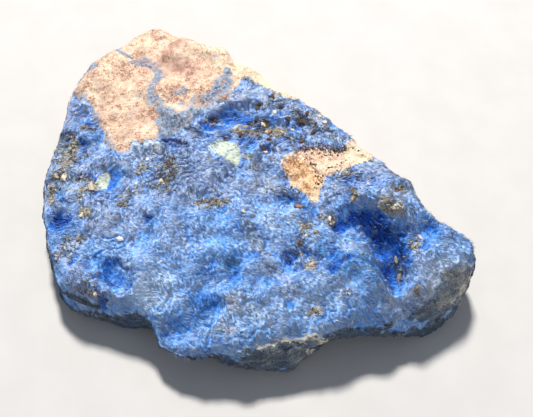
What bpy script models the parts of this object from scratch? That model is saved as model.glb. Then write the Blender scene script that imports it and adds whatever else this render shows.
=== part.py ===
"""A cyanotrichite specimen: a palm-sized slab of broken rock under a blue mineral crust.

The rock and the crust that grew on it are one body, so the part is one closed solid. Metres, +Z up.
The origin is on the surface that the slab rests on, under the middle of its outline. +X runs along
the slab's long side and +Y towards its back corner. The shape is worked out in millimetres, and
to_metres() turns each point into metres where it enters the mesh.

The upper face is a height above each point of the plan, the lower face another, and a belt of
broken rock joins their edges.
"""

import math

import bmesh
import bpy
from mathutils import Vector, noise
from mathutils.geometry import delaunay_2d_cdt

MM = 0.001

# The rim: the edge of the upper face, as x, y and how far the broken side flares out below it.
RIM = (
    (-20.4, 35.5, -1.5),  # the back corner
    (-16.8, 34.1, -1.5),
    (-12.9, 32.3, -2.0),
    (-9.4, 29.6, -2.0),
    (-6.0, 29.0, -2.0),
    (-3.8, 25.2, -2.0),
    (0.0, 22.7, -2.0),
    (2.9, 19.6, -2.5),
    (9.3, 15.4, -2.5),
    (15.1, 10.2, -2.5),
    (20.1, 4.1, -2.5),
    (24.9, -0.4, -2.0),
    (28.0, -3.9, -2.0),
    (30.5, -9.6, -2.0),
    (35.8, -12.7, -1.5),
    (37.8, -14.9, -0.5),  # the right end
    (37.6, -18.0, 1.0),
    (33.9, -21.7, 3.0),
    (29.1, -25.2, 3.0),
    (23.4, -28.3, 0.6),
    (19.2, -28.9, 0.6),
    (15.1, -30.0, -0.8),
    (12.3, -31.2, -1.8),
    (9.0, -31.9, 0.0),
    (6.2, -32.3, 2.7),  # the toe
    (2.6, -33.0, 1.6),
    (-2.3, -34.0, 0.0),
    (-10.3, -33.7, -1.0),
    (-14.8, -31.9, -0.8),
    (-17.8, -27.4, -0.6),
    (-25.9, -24.4, 1.2),
    (-32.4, -21.6, 1.1),
    (-36.0, -14.6, -1.0),
    (-37.7, -8.6, -1.2),
    (-38.6, -2.2, -1.2),
    (-38.5, 3.4, -1.2),
    (-37.6, 8.4, -1.2),
    (-36.6, 13.5, -1.5),
    (-36.4, 19.2, -1.5),
    (-34.0, 25.0, -1.5),
    (-31.1, 29.0, -1.5),
    (-27.8, 30.8, -1.5),
    (-24.3, 34.0, -1.5),
)
RIM_POINTS = 168  # points round the finished rim
SPLINE_STEPS = 12  # straight steps between two points of RIM before they are spaced evenly

# The upper face without its relief: a tilted plane with a crown, falling away at the front.
MIDDLE = (0.0, -4.0)
CREST = 13.7  # height at MIDDLE
TILT = 0.055  # rise in z for each millimetre towards +X
CROWN = 2.0  # how far the crown has fallen at its reach, which is longer towards the back
CROWN_REACH = 38.0
CROWN_REACH_BACK = 62.0
FRONT_START, FRONT_END, FRONT_FALL = -19.0, -34.0, 2.0
SHOULDER = 1.7  # radius of the worn edge all round
SHOULDER_DROP = 0.9

# Swells and dents: x, y, the two radii, how far the first radius is turned (degrees), and height.
SWELLS = (
    (23.4, -7.2, 7.6, 5.0, -38.0, 3.1),  # the knob on the right shoulder
    (20.6, -8.4, 3.0, 2.4, 0.0, 0.7),  # lumps on the knob
    (27.2, -10.8, 3.2, 2.4, -50.0, 1.2),
    (32.0, -17.6, 6.0, 4.6, -50.0, 0.9),  # the end lobe
    (17.8, -18.6, 6.6, 4.0, -58.0, 1.6),  # dome in front of the gully
    (11.0, -23.0, 5.6, 3.6, -10.0, 0.7),
    (0.0, -27.5, 9.0, 4.0, 5.0, 0.6),
    (-12.0, 27.0, 10.0, 3.6, -25.0, 0.7),  # back corner of bare rock
    (-34.8, -8.7, 1.9, 1.7, 0.0, -1.5),  # pit by the left edge
    (-24.3, -19.4, 3.4, 2.0, -42.0, -2.1),  # hollow under a lip
    (-21.6, -17.4, 3.4, 1.5, -42.0, 0.9),  # the lip
    (-7.6, -28.0, 3.6, 2.0, 20.0, -1.4),  # pits along the front edge
    (-12.5, -30.4, 2.4, 1.7, -10.0, -1.4),
    (-4.6, -20.4, 4.4, 2.8, 15.0, -0.9),
    (10.9, -16.5, 2.4, 1.9, 30.0, -1.3),  # pits left of the gully
    (6.8, -19.4, 2.2, 1.6, 0.0, -1.2),
    (14.4, -17.2, 2.0, 1.5, 20.0, -1.1),
    (-5.6, 11.4, 6.4, 2.6, 12.0, -1.3),  # trough in front of the scarp
    (-34.5, 6.0, 3.2, 4.6, 0.0, -0.8),
    (-28.4, -1.0, 3.6, 2.8, 30.0, -0.7),
    (-30.4, -14.0, 3.6, 4.0, 20.0, -0.9),
    (-26.0, -10.5, 4.0, 2.6, -20.0, 0.7),
    (3.0, 8.4, 5.0, 2.6, -30.0, -0.6),
    (-8.0, -1.5, 6.0, 3.2, 25.0, 0.6),
    (-13.0, -15.0, 6.5, 4.5, -20.0, 0.6),
)
SWELL_POWER = 1.6  # 1 is a round swell, and more gives a flatter top with steeper flanks

GULLY = ((12.6, -10.8), (16.0, -12.4), (19.6, -14.2), (22.6, -17.2), (24.6, -21.2), (25.6, -26.0))
FRONT_LIP = ((-33.6, -17.6), (-26.0, -22.8), (-19.0, -25.0))
CRACK = ((2.0, -7.2), (8.5, -8.2), (12.5, -9.6))
GROOVE = ((0.0, -9.0), (3.0, -15.5), (7.0, -25.0))
# Lines of relief: points, half width, and height. A line fades towards its ends.
RIDGES = (
    (GULLY, 2.2, -3.2),
    (FRONT_LIP, 1.4, 0.8),
    (CRACK, 1.2, -0.9),
    (GROOVE, 1.8, -0.6),
)
RIDGE_END = 0.35  # share of its height that a line keeps at its very ends

SCARP = ((-18.4, 6.8), (-11.6, 5.4), (-8.6, 10.6), (-5.0, 13.8), (1.0, 14.2), (7.0, 11.6))
FOLD = ((-14.6, 5.6), (-16.6, 0.0), (-18.6, -6.6), (-22.0, -12.0))
LEFT_STEP = ((-35.0, 9.5), (-28.0, 6.6), (-27.0, 1.5), (-31.0, -4.5))
LOBE_WALL = ((33.5, -13.5), (29.8, -15.6), (27.6, -19.5), (27.8, -24.5))
# Steps: a line, half the step's width, how much higher the ground left of the line is, seen along
# it, and how far from the line that difference dies away.
STEPS = (
    (SCARP, 0.8, 1.5, 6.0),
    (FOLD, 1.6, 1.4, 7.0),
    (LEFT_STEP, 1.0, 1.0, 5.0),
    (LOBE_WALL, 1.2, 1.2, 6.0),
)

# Patches where the crust has come away, as outlines. The rock in them lies lower by BARE_DEPTH.
BACK_WINDOW = (
    (-37.0, 18.0),
    (-31.5, 12.8),
    (-30.7, 9.5),
    (-28.5, 6.8),
    (-25.5, 4.6),
    (-22.8, 4.9),
    (-22.4, 6.8),
    (-18.6, 6.4),
    (-17.4, 9.2),
    (-17.4, 13.6),
    (-14.0, 13.0),
    (-9.0, 14.2),
    (-6.8, 16.2),
    (-3.4, 16.2),
    (-2.0, 19.0),
    (-3.0, 25.0),
    (-12.0, 34.0),
    (-22.0, 37.0),
    (-38.0, 27.0),
)
RIGHT_WINDOW = (
    (5.4, 1.5),
    (8.5, 3.2),
    (11.6, 4.2),
    (16.6, 3.3),
    (17.3, 5.8),
    (20.8, 6.0),
    (22.4, -0.2),
    (18.0, 0.8),
    (15.8, -1.0),
    (13.2, -2.2),
    (12.6, -4.2),
    (12.0, -7.2),
    (9.6, -7.4),
    (6.4, -4.8),
    (5.4, -2.0),
)
BARE_DEPTH = 0.7
BARE_EDGE = 1.1  # width of the crust's slope down into a patch

# Rough ground. Each kind of surface reads the noise in a layer of its own.
LUMPS = ((9.0, 0.9), (4.2, 0.6))  # size across and how far they rise
CREASE_SIZE, CREASE_DEPTH, CREASE_SHARPNESS = 6.0, 0.6, 3.0  # furrows between the lumps
RUBBLE_SIZE, RUBBLE_RISE = 3.0, 0.9  # small lumps, only in RUBBLE: x, y, two radii, turn, share
RUBBLE = (
    (-35.0, 4.0, 8.0, 16.0, 8.0, 1.0),
    (-31.0, -14.0, 6.0, 7.0, 20.0, 0.8),
    (5.0, 11.0, 14.0, 5.0, -38.0, 0.8),
    (26.0, -8.0, 7.0, 5.0, -40.0, 0.7),
)
CHIP_SIZE, CHIP_RISE, CHIP_STRETCH = 4.2, 1.1, 1.6  # the broken side, whose chips are wide and low
UPPER_LAYER, CREASE_LAYER, UNDER_LAYER, RUBBLE_LAYER, SIDE_LAYER = 0.0, 20.0, 40.0, 60.0, 90.0
PUSH_LAYERS = (120.0, 140.0)
ROUGHNESS, LACUNARITY, OCTAVES = 0.9, 2.1, 3

# The lower face: fracture planes that leave the ground at a distance from the origin in a
# direction (degrees from +X), each rising outwards by a slope.
FRACTURES = (
    (62.0, 13.5, 0.26),
    (102.0, 24.0, 0.34),
    (140.0, 29.0, 0.30),
    (186.0, 31.0, 0.28),
    (222.0, 30.5, 0.34),
    (268.0, 29.0, 0.36),
    (345.0, 36.5, 0.30),
    (18.0, 17.5, 0.24),
)
# Hollows in it: x, y, the two radii, turn and depth.
CAVES = (
    (-13.0, -34.0, 9.0, 7.5, 0.0, 4.6),
    (20.0, -32.5, 8.0, 8.5, 0.0, 5.6),
    (8.0, 5.0, 9.0, 6.0, 0.0, 1.0),
    (-20.0, 12.0, 8.0, 9.0, 0.0, 1.2),
    (-8.0, -12.0, 9.0, 7.0, 0.0, 0.9),
)
UNDER_SUNK = 0.6  # how deep the resting face would lie under the ground if it weren't cut level
UNDER_SIZE, UNDER_RISE = 6.5, 1.3
LEDGE = 1.7  # the lower face climbs to its edge in ledges of this height
LEDGE_TREAD = 0.55  # share of each ledge that is level

TOP_PITCH = 1.22  # spacing of the mesh's points on the upper face
UNDER_PITCH = 2.4
PITCH_UNEVEN = 0.3  # how far a point is pushed off its grid, as a share of the spacing
PITCH_CLEAR = 0.55  # least distance of a point from the rim, as a share of the spacing
BELT_ROWS = 6  # rows of faces down the broken side
BELT_BULGE = 0.7
HEM_GAP = 0.25  # how far the belt's lowest row lies above the lower face

CRUST_BLUE = (0.19, 0.32, 0.55, 1.0)
CRUST_ROUGHNESS = 0.85


def smoothstep(t):
    """0 before t = 0, 1 after t = 1 and a smooth rise between."""
    t = min(1.0, max(0.0, t))
    return t * t * (3.0 - 2.0 * t)


def lumpy(x, y, layer, size):
    """Noise from -1 to 1 whose lumps are about size across."""
    return noise.fractal(Vector((x, y, layer)) / size, ROUGHNESS, LACUNARITY, OCTAVES)


def to_metres(x, y, z):
    """The point in metres."""
    return Vector((x, y, z)) * MM


def catmull_rom(a, b, c, d, t):
    """The curve's point between b and c."""
    return 0.5 * (
        2 * b
        + (c - a) * t
        + (2 * a - 5 * b + 4 * c - d) * t**2
        + (3 * b - a - 3 * c + d) * t**3
    )


def rim_loop():
    """RIM_POINTS evenly spaced points of the smooth closed rim, as x, y and flare."""
    stations = [Vector(station) for station in RIM]
    count = len(stations)
    fine = []
    for i in range(count):
        around = [stations[(i + k) % count] for k in (-1, 0, 1, 2)]
        fine += [catmull_rom(*around, k / SPLINE_STEPS) for k in range(SPLINE_STEPS)]
    lengths = [0.0]
    for a, b in zip(fine, fine[1:] + fine[:1]):
        lengths.append(lengths[-1] + (b.xy - a.xy).length)
    fine.append(fine[0])
    loop, at = [], 0
    for i in range(RIM_POINTS):
        wanted = lengths[-1] * i / RIM_POINTS
        while lengths[at + 1] < wanted:
            at += 1
        share = (wanted - lengths[at]) / (lengths[at + 1] - lengths[at])
        loop.append(fine[at].lerp(fine[at + 1], share))
    return loop


def outward(loop, i):
    """The level direction that points out of a clockwise loop at its point i."""
    along = loop[(i + 1) % len(loop)].xy - loop[i - 1].xy
    return Vector((-along.y, along.x)).normalized()


def encloses(loop, x, y):
    """True if the point of the plan lies inside the loop."""
    inside = False
    for a, b in zip(loop, loop[1:] + loop[:1]):
        if (a.y > y) != (b.y > y) and x < a.x + (b.x - a.x) * (y - a.y) / (b.y - a.y):
            inside = not inside
    return inside


def nearest_on(a, b, here):
    """The vector from the nearest point of the run a to b, and the share along the run."""
    run = b - a
    share = min(1.0, max(0.0, (here - a).dot(run) / run.length_squared))
    return here - (a + run * share), share


def loop_distance(loop, x, y):
    """Distance from a point of the plan to the loop."""
    here = Vector((x, y))
    return min(nearest_on(a.xy, b.xy, here)[0].length for a, b in zip(loop, loop[1:] + loop[:1]))


def along_line(points, x, y):
    """Distance from a broken line, the side (1 left, -1 right), and the share along it."""
    here = Vector((x, y))
    best = None
    for i, (a, b) in enumerate(zip(points, points[1:])):
        a, b = Vector(a), Vector(b)
        away, share = nearest_on(a, b, here)
        if best is None or away.length < best[0]:
            side = 1.0 if (b - a).cross(away) > 0.0 else -1.0
            best = (away.length, side, (i + share) / (len(points) - 1))
    return best


def swell(x, y, middle_x, middle_y, radius_a, radius_b, turn, height):
    """Height of one swell or dent, which has a flat top and falls steeply at its radii."""
    c, s = math.cos(math.radians(turn)), math.sin(math.radians(turn))
    dx, dy = x - middle_x, y - middle_y
    a, b = (dx * c + dy * s) / radius_a, (dy * c - dx * s) / radius_b
    return height * math.exp(-((a * a + b * b) ** SWELL_POWER))


def ridge(x, y, points, half_width, height):
    """Height of one ridge or gully."""
    distance, _, share = along_line(points, x, y)
    middle = smoothstep(4.0 * share) * smoothstep(4.0 * (1.0 - share))
    fade = RIDGE_END + (1.0 - RIDGE_END) * middle
    return height * fade * math.exp(-((distance / half_width) ** 2))


def step(x, y, points, half_width, height, reach):
    """Height of one step."""
    distance, side, share = along_line(points, x, y)
    fade = math.sin(math.pi * min(0.9, max(0.1, share))) * math.exp(-((distance / reach) ** 2))
    return side * 0.5 * height * fade * smoothstep(distance / half_width)


def bare(x, y, outline):
    """How far the rock lies under the crust's surface in one bare patch."""
    corners = [Vector(corner) for corner in outline]
    away = loop_distance(corners, x, y)
    inside = away if encloses(corners, x, y) else -away
    return BARE_DEPTH * smoothstep(0.5 + inside / BARE_EDGE)


def crease(x, y):
    """Depth of the sharp furrows that run between the lumps."""
    level = abs(noise.noise(Vector((x, y, CREASE_LAYER)) / CREASE_SIZE))
    return CREASE_DEPTH * (1.0 - min(1.0, CREASE_SHARPNESS * level))


def top_height(x, y):
    """Height of the upper face, before its edge is worn round."""
    along, back = x - MIDDLE[0], y - MIDDLE[1]
    back_reach = CROWN_REACH_BACK if back > 0.0 else CROWN_REACH
    z = CREST + TILT * x - CROWN * ((along / CROWN_REACH) ** 2 + (back / back_reach) ** 2)
    z -= FRONT_FALL * smoothstep((y - FRONT_START) / (FRONT_END - FRONT_START))
    z += sum(swell(x, y, *each) for each in SWELLS)
    z += sum(ridge(x, y, *each) for each in RIDGES)
    z += sum(step(x, y, *each) for each in STEPS)
    z -= bare(x, y, BACK_WINDOW) + bare(x, y, RIGHT_WINDOW) + crease(x, y)
    z += sum(rise * lumpy(x, y, UPPER_LAYER, size) for size, rise in LUMPS)
    rubble = sum(swell(x, y, *each) for each in RUBBLE)
    return z + RUBBLE_RISE * rubble * lumpy(x, y, RUBBLE_LAYER, RUBBLE_SIZE)


def under_height(x, y):
    """Height of the lower face, level where the slab rests and climbing in ledges round it."""
    z = -UNDER_SUNK
    for direction, distance, slope in FRACTURES:
        angle = math.radians(direction)
        z = max(z, slope * (x * math.cos(angle) + y * math.sin(angle) - distance))
    z += sum(swell(x, y, *each) for each in CAVES)
    z += UNDER_RISE * lumpy(x, y, UNDER_LAYER, UNDER_SIZE)
    ledges = max(0.0, z) / LEDGE
    whole = math.floor(ledges)
    return LEDGE * (whole + smoothstep((ledges - whole - LEDGE_TREAD) / (1.0 - LEDGE_TREAD)))


def worn(distance):
    """How far the upper face has dropped at this distance from the rim."""
    t = 1.0 - min(1.0, distance / SHOULDER)
    return SHOULDER_DROP * (1.0 - math.sqrt(1.0 - t * t))


def grid_inside(loop, pitch):
    """Points of a slightly uneven triangular grid that lie inside the loop, off its edge."""
    low = Vector((min(p.x for p in loop), min(p.y for p in loop)))
    high = Vector((max(p.x for p in loop), max(p.y for p in loop)))
    row_gap = pitch * math.sqrt(3.0) / 2.0
    points = []
    for row in range(int((high.y - low.y) / row_gap) + 1):
        for column in range(int((high.x - low.x) / pitch) + 1):
            x = low.x + (column + 0.5 * (row % 2)) * pitch
            y = low.y + row * row_gap
            push_x, push_y = (noise.noise(Vector((x, y, layer))) for layer in PUSH_LAYERS)
            x, y = x + push_x * pitch * PITCH_UNEVEN, y + push_y * pitch * PITCH_UNEVEN
            if encloses(loop, x, y) and loop_distance(loop, x, y) > PITCH_CLEAR * pitch:
                points.append(Vector((x, y)))
    return points


def add_cap(bm, edge_verts, loop, pitch, height):
    """Adds a triangulated face over the loop.

    Its edge is edge_verts, which stand over the loop's points, and height(x, y) is the height of
    its other points.
    """
    inner = grid_inside(loop, pitch)
    count = len(loop)
    edges = [(i, (i + 1) % count) for i in range(count)]
    plan = [p.xy.copy() for p in loop] + inner
    _, _, faces, origins, _, _ = delaunay_2d_cdt(plan, edges, [], 1, 1e-6)
    verts = list(edge_verts) + [bm.verts.new(to_metres(p.x, p.y, height(p.x, p.y))) for p in inner]
    for face in faces:
        bm.faces.new([verts[origins[corner][0]] for corner in face])


def belt_rows(loop):
    """The broken side as rows of points, from the rim down to the hem, in millimetres."""
    rows = [[] for _ in range(BELT_ROWS + 1)]
    for i, point in enumerate(loop):
        out = outward(loop, i)
        hem = point.xy + out * point.z
        high = top_height(point.x, point.y) - SHOULDER_DROP
        low = under_height(hem.x, hem.y) + HEM_GAP
        for k, row in enumerate(rows):
            down = k / BELT_ROWS
            z = high + (low - high) * down
            chip = CHIP_RISE * lumpy(point.x, point.y, CHIP_STRETCH * z + SIDE_LAYER, CHIP_SIZE)
            bulge = math.sin(math.pi * down) * (BELT_BULGE + chip)
            at = point.xy + out * (point.z * down + bulge)
            row.append(Vector((at.x, at.y, z)))
    return rows


def centre(bm):
    """Moves the slab so that the origin is under the middle of its outline."""
    for axis in (0, 1):
        places = [vert.co[axis] for vert in bm.verts]
        middle = (min(places) + max(places)) / 2.0
        for vert in bm.verts:
            vert.co[axis] -= middle


def build_slab():
    """The slab as one closed mesh."""
    rim = rim_loop()
    rows = belt_rows(rim)
    bm = bmesh.new()
    verts = [[bm.verts.new(to_metres(*p)) for p in row] for row in rows]
    for upper, lower in zip(verts, verts[1:]):
        for i in range(RIM_POINTS):
            j = (i + 1) % RIM_POINTS
            bm.faces.new((upper[i], upper[j], lower[j], lower[i]))

    def worn_top(x, y):
        """Height of the upper face with its worn edge."""
        return top_height(x, y) - worn(loop_distance(rim, x, y))

    add_cap(bm, verts[0], rows[0], TOP_PITCH, worn_top)
    add_cap(bm, verts[-1], rows[-1], UNDER_PITCH, under_height)
    bmesh.ops.triangulate(bm, faces=[face for face in bm.faces if len(face.verts) > 3])
    bmesh.ops.recalc_face_normals(bm, faces=bm.faces)
    centre(bm)
    mesh = bpy.data.meshes.new("specimen")
    bm.to_mesh(mesh)
    bm.free()
    mesh.shade_smooth()
    return mesh


def crust_material():
    """The matt blue of the crust."""
    material = bpy.data.materials.new("cyanotrichite_crust")
    material.use_nodes = True
    shader = material.node_tree.nodes["Principled BSDF"]
    shader.inputs["Base Color"].default_value = CRUST_BLUE
    shader.inputs["Roughness"].default_value = CRUST_ROUGHNESS
    shader.inputs["Metallic"].default_value = 0.0
    return material


def main():
    """Clears the scene and adds the specimen."""
    for obj in list(bpy.data.objects):
        bpy.data.objects.remove(obj)
    mesh = build_slab()
    mesh.materials.append(crust_material())
    specimen = bpy.data.objects.new("specimen", mesh)
    bpy.context.scene.collection.objects.link(specimen)


main()
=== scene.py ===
"""Dresses a hand-size slab of blue, needle-crusted copper mineral on pale broken rock.

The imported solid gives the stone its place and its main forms. Four sub-assemblies are built on it:
the stone's skin, the mat of crystal needles, the loose grains with the larger flakes, and the studio.
Plan places are millimetres in the row frame, +X to the narrow end and +Y to the back corner.
"""

import itertools
import logging
import math
from dataclasses import dataclass
from enum import Enum

import bmesh
import bpy
import numpy as np
from mathutils import Euler, Matrix, Vector
from mathutils.bvhtree import BVHTree

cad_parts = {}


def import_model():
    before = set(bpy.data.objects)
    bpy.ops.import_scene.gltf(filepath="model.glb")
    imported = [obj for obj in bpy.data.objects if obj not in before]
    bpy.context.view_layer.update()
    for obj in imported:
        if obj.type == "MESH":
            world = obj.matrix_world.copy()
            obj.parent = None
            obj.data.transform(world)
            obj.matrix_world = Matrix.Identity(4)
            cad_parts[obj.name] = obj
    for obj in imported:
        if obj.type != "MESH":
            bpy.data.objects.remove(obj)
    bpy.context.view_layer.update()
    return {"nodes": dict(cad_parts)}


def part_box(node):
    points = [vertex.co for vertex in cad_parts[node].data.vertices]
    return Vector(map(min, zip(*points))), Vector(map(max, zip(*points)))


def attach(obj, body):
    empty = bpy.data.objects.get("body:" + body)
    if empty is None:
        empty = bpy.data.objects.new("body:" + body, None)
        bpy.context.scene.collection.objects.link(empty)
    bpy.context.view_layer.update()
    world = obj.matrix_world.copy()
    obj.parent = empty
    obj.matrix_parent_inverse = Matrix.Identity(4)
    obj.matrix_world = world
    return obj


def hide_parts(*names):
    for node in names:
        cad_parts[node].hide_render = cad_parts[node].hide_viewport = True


LOG = logging.getLogger("specimen")
NODE = "specimen"
BODY = "root"
MM = 0.001
UV_NAME = "UVMap"

Array = np.ndarray
Colour = tuple[float, float, float, float]
Stops = tuple[tuple[float, Colour], ...]
Plan = tuple[float, float]


def paint(red: int, green: int, blue: int) -> Colour:
    """Turns a colour as a painter mixes it into the linear light that a shader wants.

    Args:
        red: Red, 0 to 255.
        green: Green, 0 to 255.
        blue: Blue, 0 to 255.

    Returns:
        The same colour in linear light, opaque.
    """
    parts = [c / 255 for c in (red, green, blue)]
    linear = [c / 12.92 if c <= 0.04045 else ((c + 0.055) / 1.055) ** 2.4 for c in parts]
    return (linear[0], linear[1], linear[2], 1.0)


def shades(places: tuple[float, ...], *colours: tuple[int, int, int]) -> Stops:
    """Pairs the places along a ramp with their painted colours."""
    return tuple((place, paint(*colour)) for place, colour in zip(places, colours, strict=True))


def soften(low: float, high: float, value: Array) -> Array:
    """Eases from 0 at low to 1 at high, either way round.

    Args:
        low: Value that gives 0.
        high: Value that gives 1.
        value: Values to ease.

    Returns:
        The eased values, from 0 to 1.
    """
    share = np.clip((value - low) / (high - low), 0, 1)
    return share * share * (3 - 2 * share)


def toward(value: Array, goal: float, share: Array) -> Array:
    """Moves values a share of the way to a goal."""
    return value + share * (goal - value)


def gathered(items: object, name: str, wide: int = 1, kind: type = np.float32) -> Array:
    """Reads one property of every item of a mesh.

    Args:
        items: The mesh's points, edges, corners or faces.
        name: The property.
        wide: How many numbers it has.
        kind: The numbers' type.

    Returns:
        One number or row for each item.
    """
    flat = np.empty(len(items) * wide, kind)
    items.foreach_get(name, flat)
    return flat.reshape(-1, wide) if wide > 1 else flat


def placed(name: str, data: bpy.types.ID) -> bpy.types.Object:
    """Makes an object and puts it in the scene.

    Args:
        name: The object's name.
        data: Its mesh, light or camera.

    Returns:
        The object.
    """
    thing = bpy.data.objects.new(name, data)
    bpy.context.scene.collection.objects.link(thing)
    return thing


# ------------------------ node trees


class Wire:
    """A node's output that can be used in plain arithmetic."""

    def __init__(self, graph: "Graph", socket: bpy.types.NodeSocket) -> None:
        """Keeps the tree that the socket belongs to."""
        self.graph = graph
        self.socket = socket

    def __add__(self, other: "Wire | float") -> "Wire":
        """Adds."""
        return self.graph.math("ADD", self, other)

    def __radd__(self, other: float) -> "Wire":
        """Adds, with the number first."""
        return self.graph.math("ADD", other, self)

    def __sub__(self, other: "Wire | float") -> "Wire":
        """Subtracts."""
        return self.graph.math("SUBTRACT", self, other)

    def __rsub__(self, other: float) -> "Wire":
        """Subtracts this from a number."""
        return self.graph.math("SUBTRACT", other, self)

    def __mul__(self, other: "Wire | float") -> "Wire":
        """Multiplies."""
        return self.graph.math("MULTIPLY", self, other)

    def __rmul__(self, other: float) -> "Wire":
        """Multiplies, with the number first."""
        return self.graph.math("MULTIPLY", other, self)

    def eased(self, low: float, high: float) -> "Wire":
        """Eases from 0 at low to 1 at high."""
        sockets = {"Value": self, "From Min": low, "From Max": high}
        return self.graph.add("ShaderNodeMapRange", {"interpolation_type": "SMOOTHSTEP"}, sockets)

    def clamped(self, low: float = 0.0, high: float = 1.0) -> "Wire":
        """Holds the value between two limits."""
        return self.graph.add("ShaderNodeClamp", {}, {"Value": self, "Min": low, "Max": high})


class Graph:
    """Adds nodes to one shader or geometry tree."""

    def __init__(self, tree: bpy.types.NodeTree) -> None:
        """Keeps the tree."""
        self.tree = tree

    def add(self, kind: str, settings: dict | None = None, sockets: dict | None = None) -> Wire:
        """Adds one node.

        Args:
            kind: The node's type.
            settings: The node's own choices, set first; "stops" holds a ramp's (place, colour) pairs.
            sockets: Values or wires by input name, or by input number where names repeat.

        Returns:
            The node's first live output.
        """
        node = self.tree.nodes.new(kind)
        for name, value in (settings or {}).items():
            if name == "stops":
                self._set_stops(node.color_ramp, value)
            else:
                setattr(node, name, value)
        for name, value in (sockets or {}).items():
            self.feed(self._input(node, name), value)
        return Wire(self, next((s for s in node.outputs if s.enabled), None))

    def feed(self, socket: bpy.types.NodeSocket, value: object) -> None:
        """Links a wire to an input, or sets the input's own value.

        Args:
            socket: The input.
            value: A wire, a number, a vector, a colour or a name.
        """
        if isinstance(value, Wire):
            self.tree.links.new(value.socket, socket)
        else:
            socket.default_value = value

    def output(self, wire: Wire, name: str) -> Wire:
        """Gives another output of the node that a wire comes from."""
        return Wire(self, next(s for s in wire.socket.node.outputs if s.enabled and s.name == name))

    def math(self, operation: str, first: Wire | float, second: Wire | float) -> Wire:
        """Adds a Math node with two numbers."""
        return self.add("ShaderNodeMath", {"operation": operation}, {0: first, 1: second})

    def vector(self, operation: str, first: object, second: object = (0.0, 0.0, 0.0)) -> Wire:
        """Adds a Vector Math node.

        Args:
            operation: What it does.
            first: First vector.
            second: Second vector, or for SCALE the number.

        Returns:
            The resulting vector, or for DOT_PRODUCT the number.
        """
        sockets = {0: first}
        if operation != "NORMALIZE":
            sockets["Scale" if operation == "SCALE" else 1] = second
        return self.add("ShaderNodeVectorMath", {"operation": operation}, sockets)

    def blend(self, share: Wire | float, first: object, second: object) -> Wire:
        """Mixes two colours.

        Args:
            share: 0 for the first colour, 1 for the second.
            first: First colour.
            second: Second colour.

        Returns:
            The mixed colour.
        """
        settings = {"data_type": "RGBA", "clamp_factor": True}
        return self.add("ShaderNodeMix", settings, {"Factor": share, "A": first, "B": second})

    def ramp(self, place: Wire, stops: Stops) -> Wire:
        """Looks a colour up along a row of stops."""
        return self.add("ShaderNodeValToRGB", {"stops": stops}, {"Fac": place})

    @staticmethod
    def _set_stops(ramp: bpy.types.ColorRamp, stops: Stops) -> None:
        """Gives a ramp exactly these stops.

        Args:
            ramp: The ramp.
            stops: Places and colours, from the lowest place up.
        """
        while len(ramp.elements) > 1:
            ramp.elements.remove(ramp.elements[-1])
        ramp.elements[0].position, ramp.elements[0].color = stops[0]
        for place, colour in stops[1:]:
            ramp.elements.new(place).color = colour

    @staticmethod
    def _input(node: bpy.types.Node, name: str | int) -> bpy.types.NodeSocket:
        """Finds one of a node's inputs.

        Args:
            node: The node.
            name: The name of a live input, or the number of any input.

        Returns:
            The input.
        """
        if isinstance(name, int):
            return node.inputs[name]
        return next(s for s in node.inputs if s.enabled and s.name == name)


class Surface(Graph):
    """The shader tree of one material, which ends in a Principled BSDF."""

    def __init__(self, name: str) -> None:
        """Makes the material with an empty tree.

        Args:
            name: The material's name.
        """
        self.material = bpy.data.materials.new(name)
        self.material.use_nodes = True
        super().__init__(self.material.node_tree)
        self.tree.nodes.clear()

    def attribute(self, name: str) -> Wire:
        """Reads one of the mesh's own float attributes."""
        return self.output(self.add("ShaderNodeAttribute", {"attribute_name": name}), "Fac")

    def place(self) -> Wire:
        """Gives the point on the piece in millimetres."""
        return self.vector("SCALE", self.output(self.add("ShaderNodeTexCoord"), "Object"), 1 / MM)

    def map_place(self) -> tuple[Wire, Wire]:
        """Reads the piece's own map.

        Returns:
            The places along and across it.
        """
        place = self.add("ShaderNodeUVMap", {"uv_map": UV_NAME})
        split = self.add("ShaderNodeSeparateXYZ", {}, {"Vector": place})
        return split, self.output(split, "Y")

    def noise(self, point: Wire, size: float, detail: float = 2.0, rough: float = 0.55) -> Wire:
        """Adds soft noise.

        Args:
            point: Where it is read, in millimetres.
            size: How far apart its humps are, in millimetres.
            detail: Octaves.
            rough: How strong the finer octaves are.

        Returns:
            The noise, about 0 to 1 with its middle at 0.5.
        """
        sockets = {"Vector": point, "Scale": 1 / size, "Detail": detail, "Roughness": rough}
        return self.add("ShaderNodeTexNoise", {"noise_dimensions": "3D"}, sockets)

    def finish(
        self, colour: Wire, roughness: float, shine: float, normal: Wire | None = None
    ) -> bpy.types.Material:
        """Closes the tree.

        Args:
            colour: The base colour.
            roughness: How rough the piece is, the same all over.
            shine: Its specular level, the same all over.
            normal: A bump's normal, if any.

        Returns:
            The material.
        """
        sockets = {"Base Color": colour, "Roughness": roughness, "Specular IOR Level": shine}
        if normal is not None:
            sockets["Normal"] = normal
        shader = self.add("ShaderNodeBsdfPrincipled", {}, sockets)
        self.add("ShaderNodeOutputMaterial", {}, {"Surface": shader})
        return self.material


# ------------------------ the stone's markings


# Large odd numbers that scatter the lattices' draws, and a mask that keeps each draw to 24 bits.
CELL_KEYS = (73856093, 19349663, 83492791)
SEED_KEY = 668265263
MIX_KEY = 2246822519
TURN_KEY = 3266489917
DRAW_MASK = 0xFFFFFF

# How far out a marking has faded and is full, in its own half widths, and stand-ins for far and for none.
FADED = 1.4
OVAL_FULL = 0.55
LINE_FULL = 0.5
FAR = 1e9
TINY = 1e-9


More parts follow.
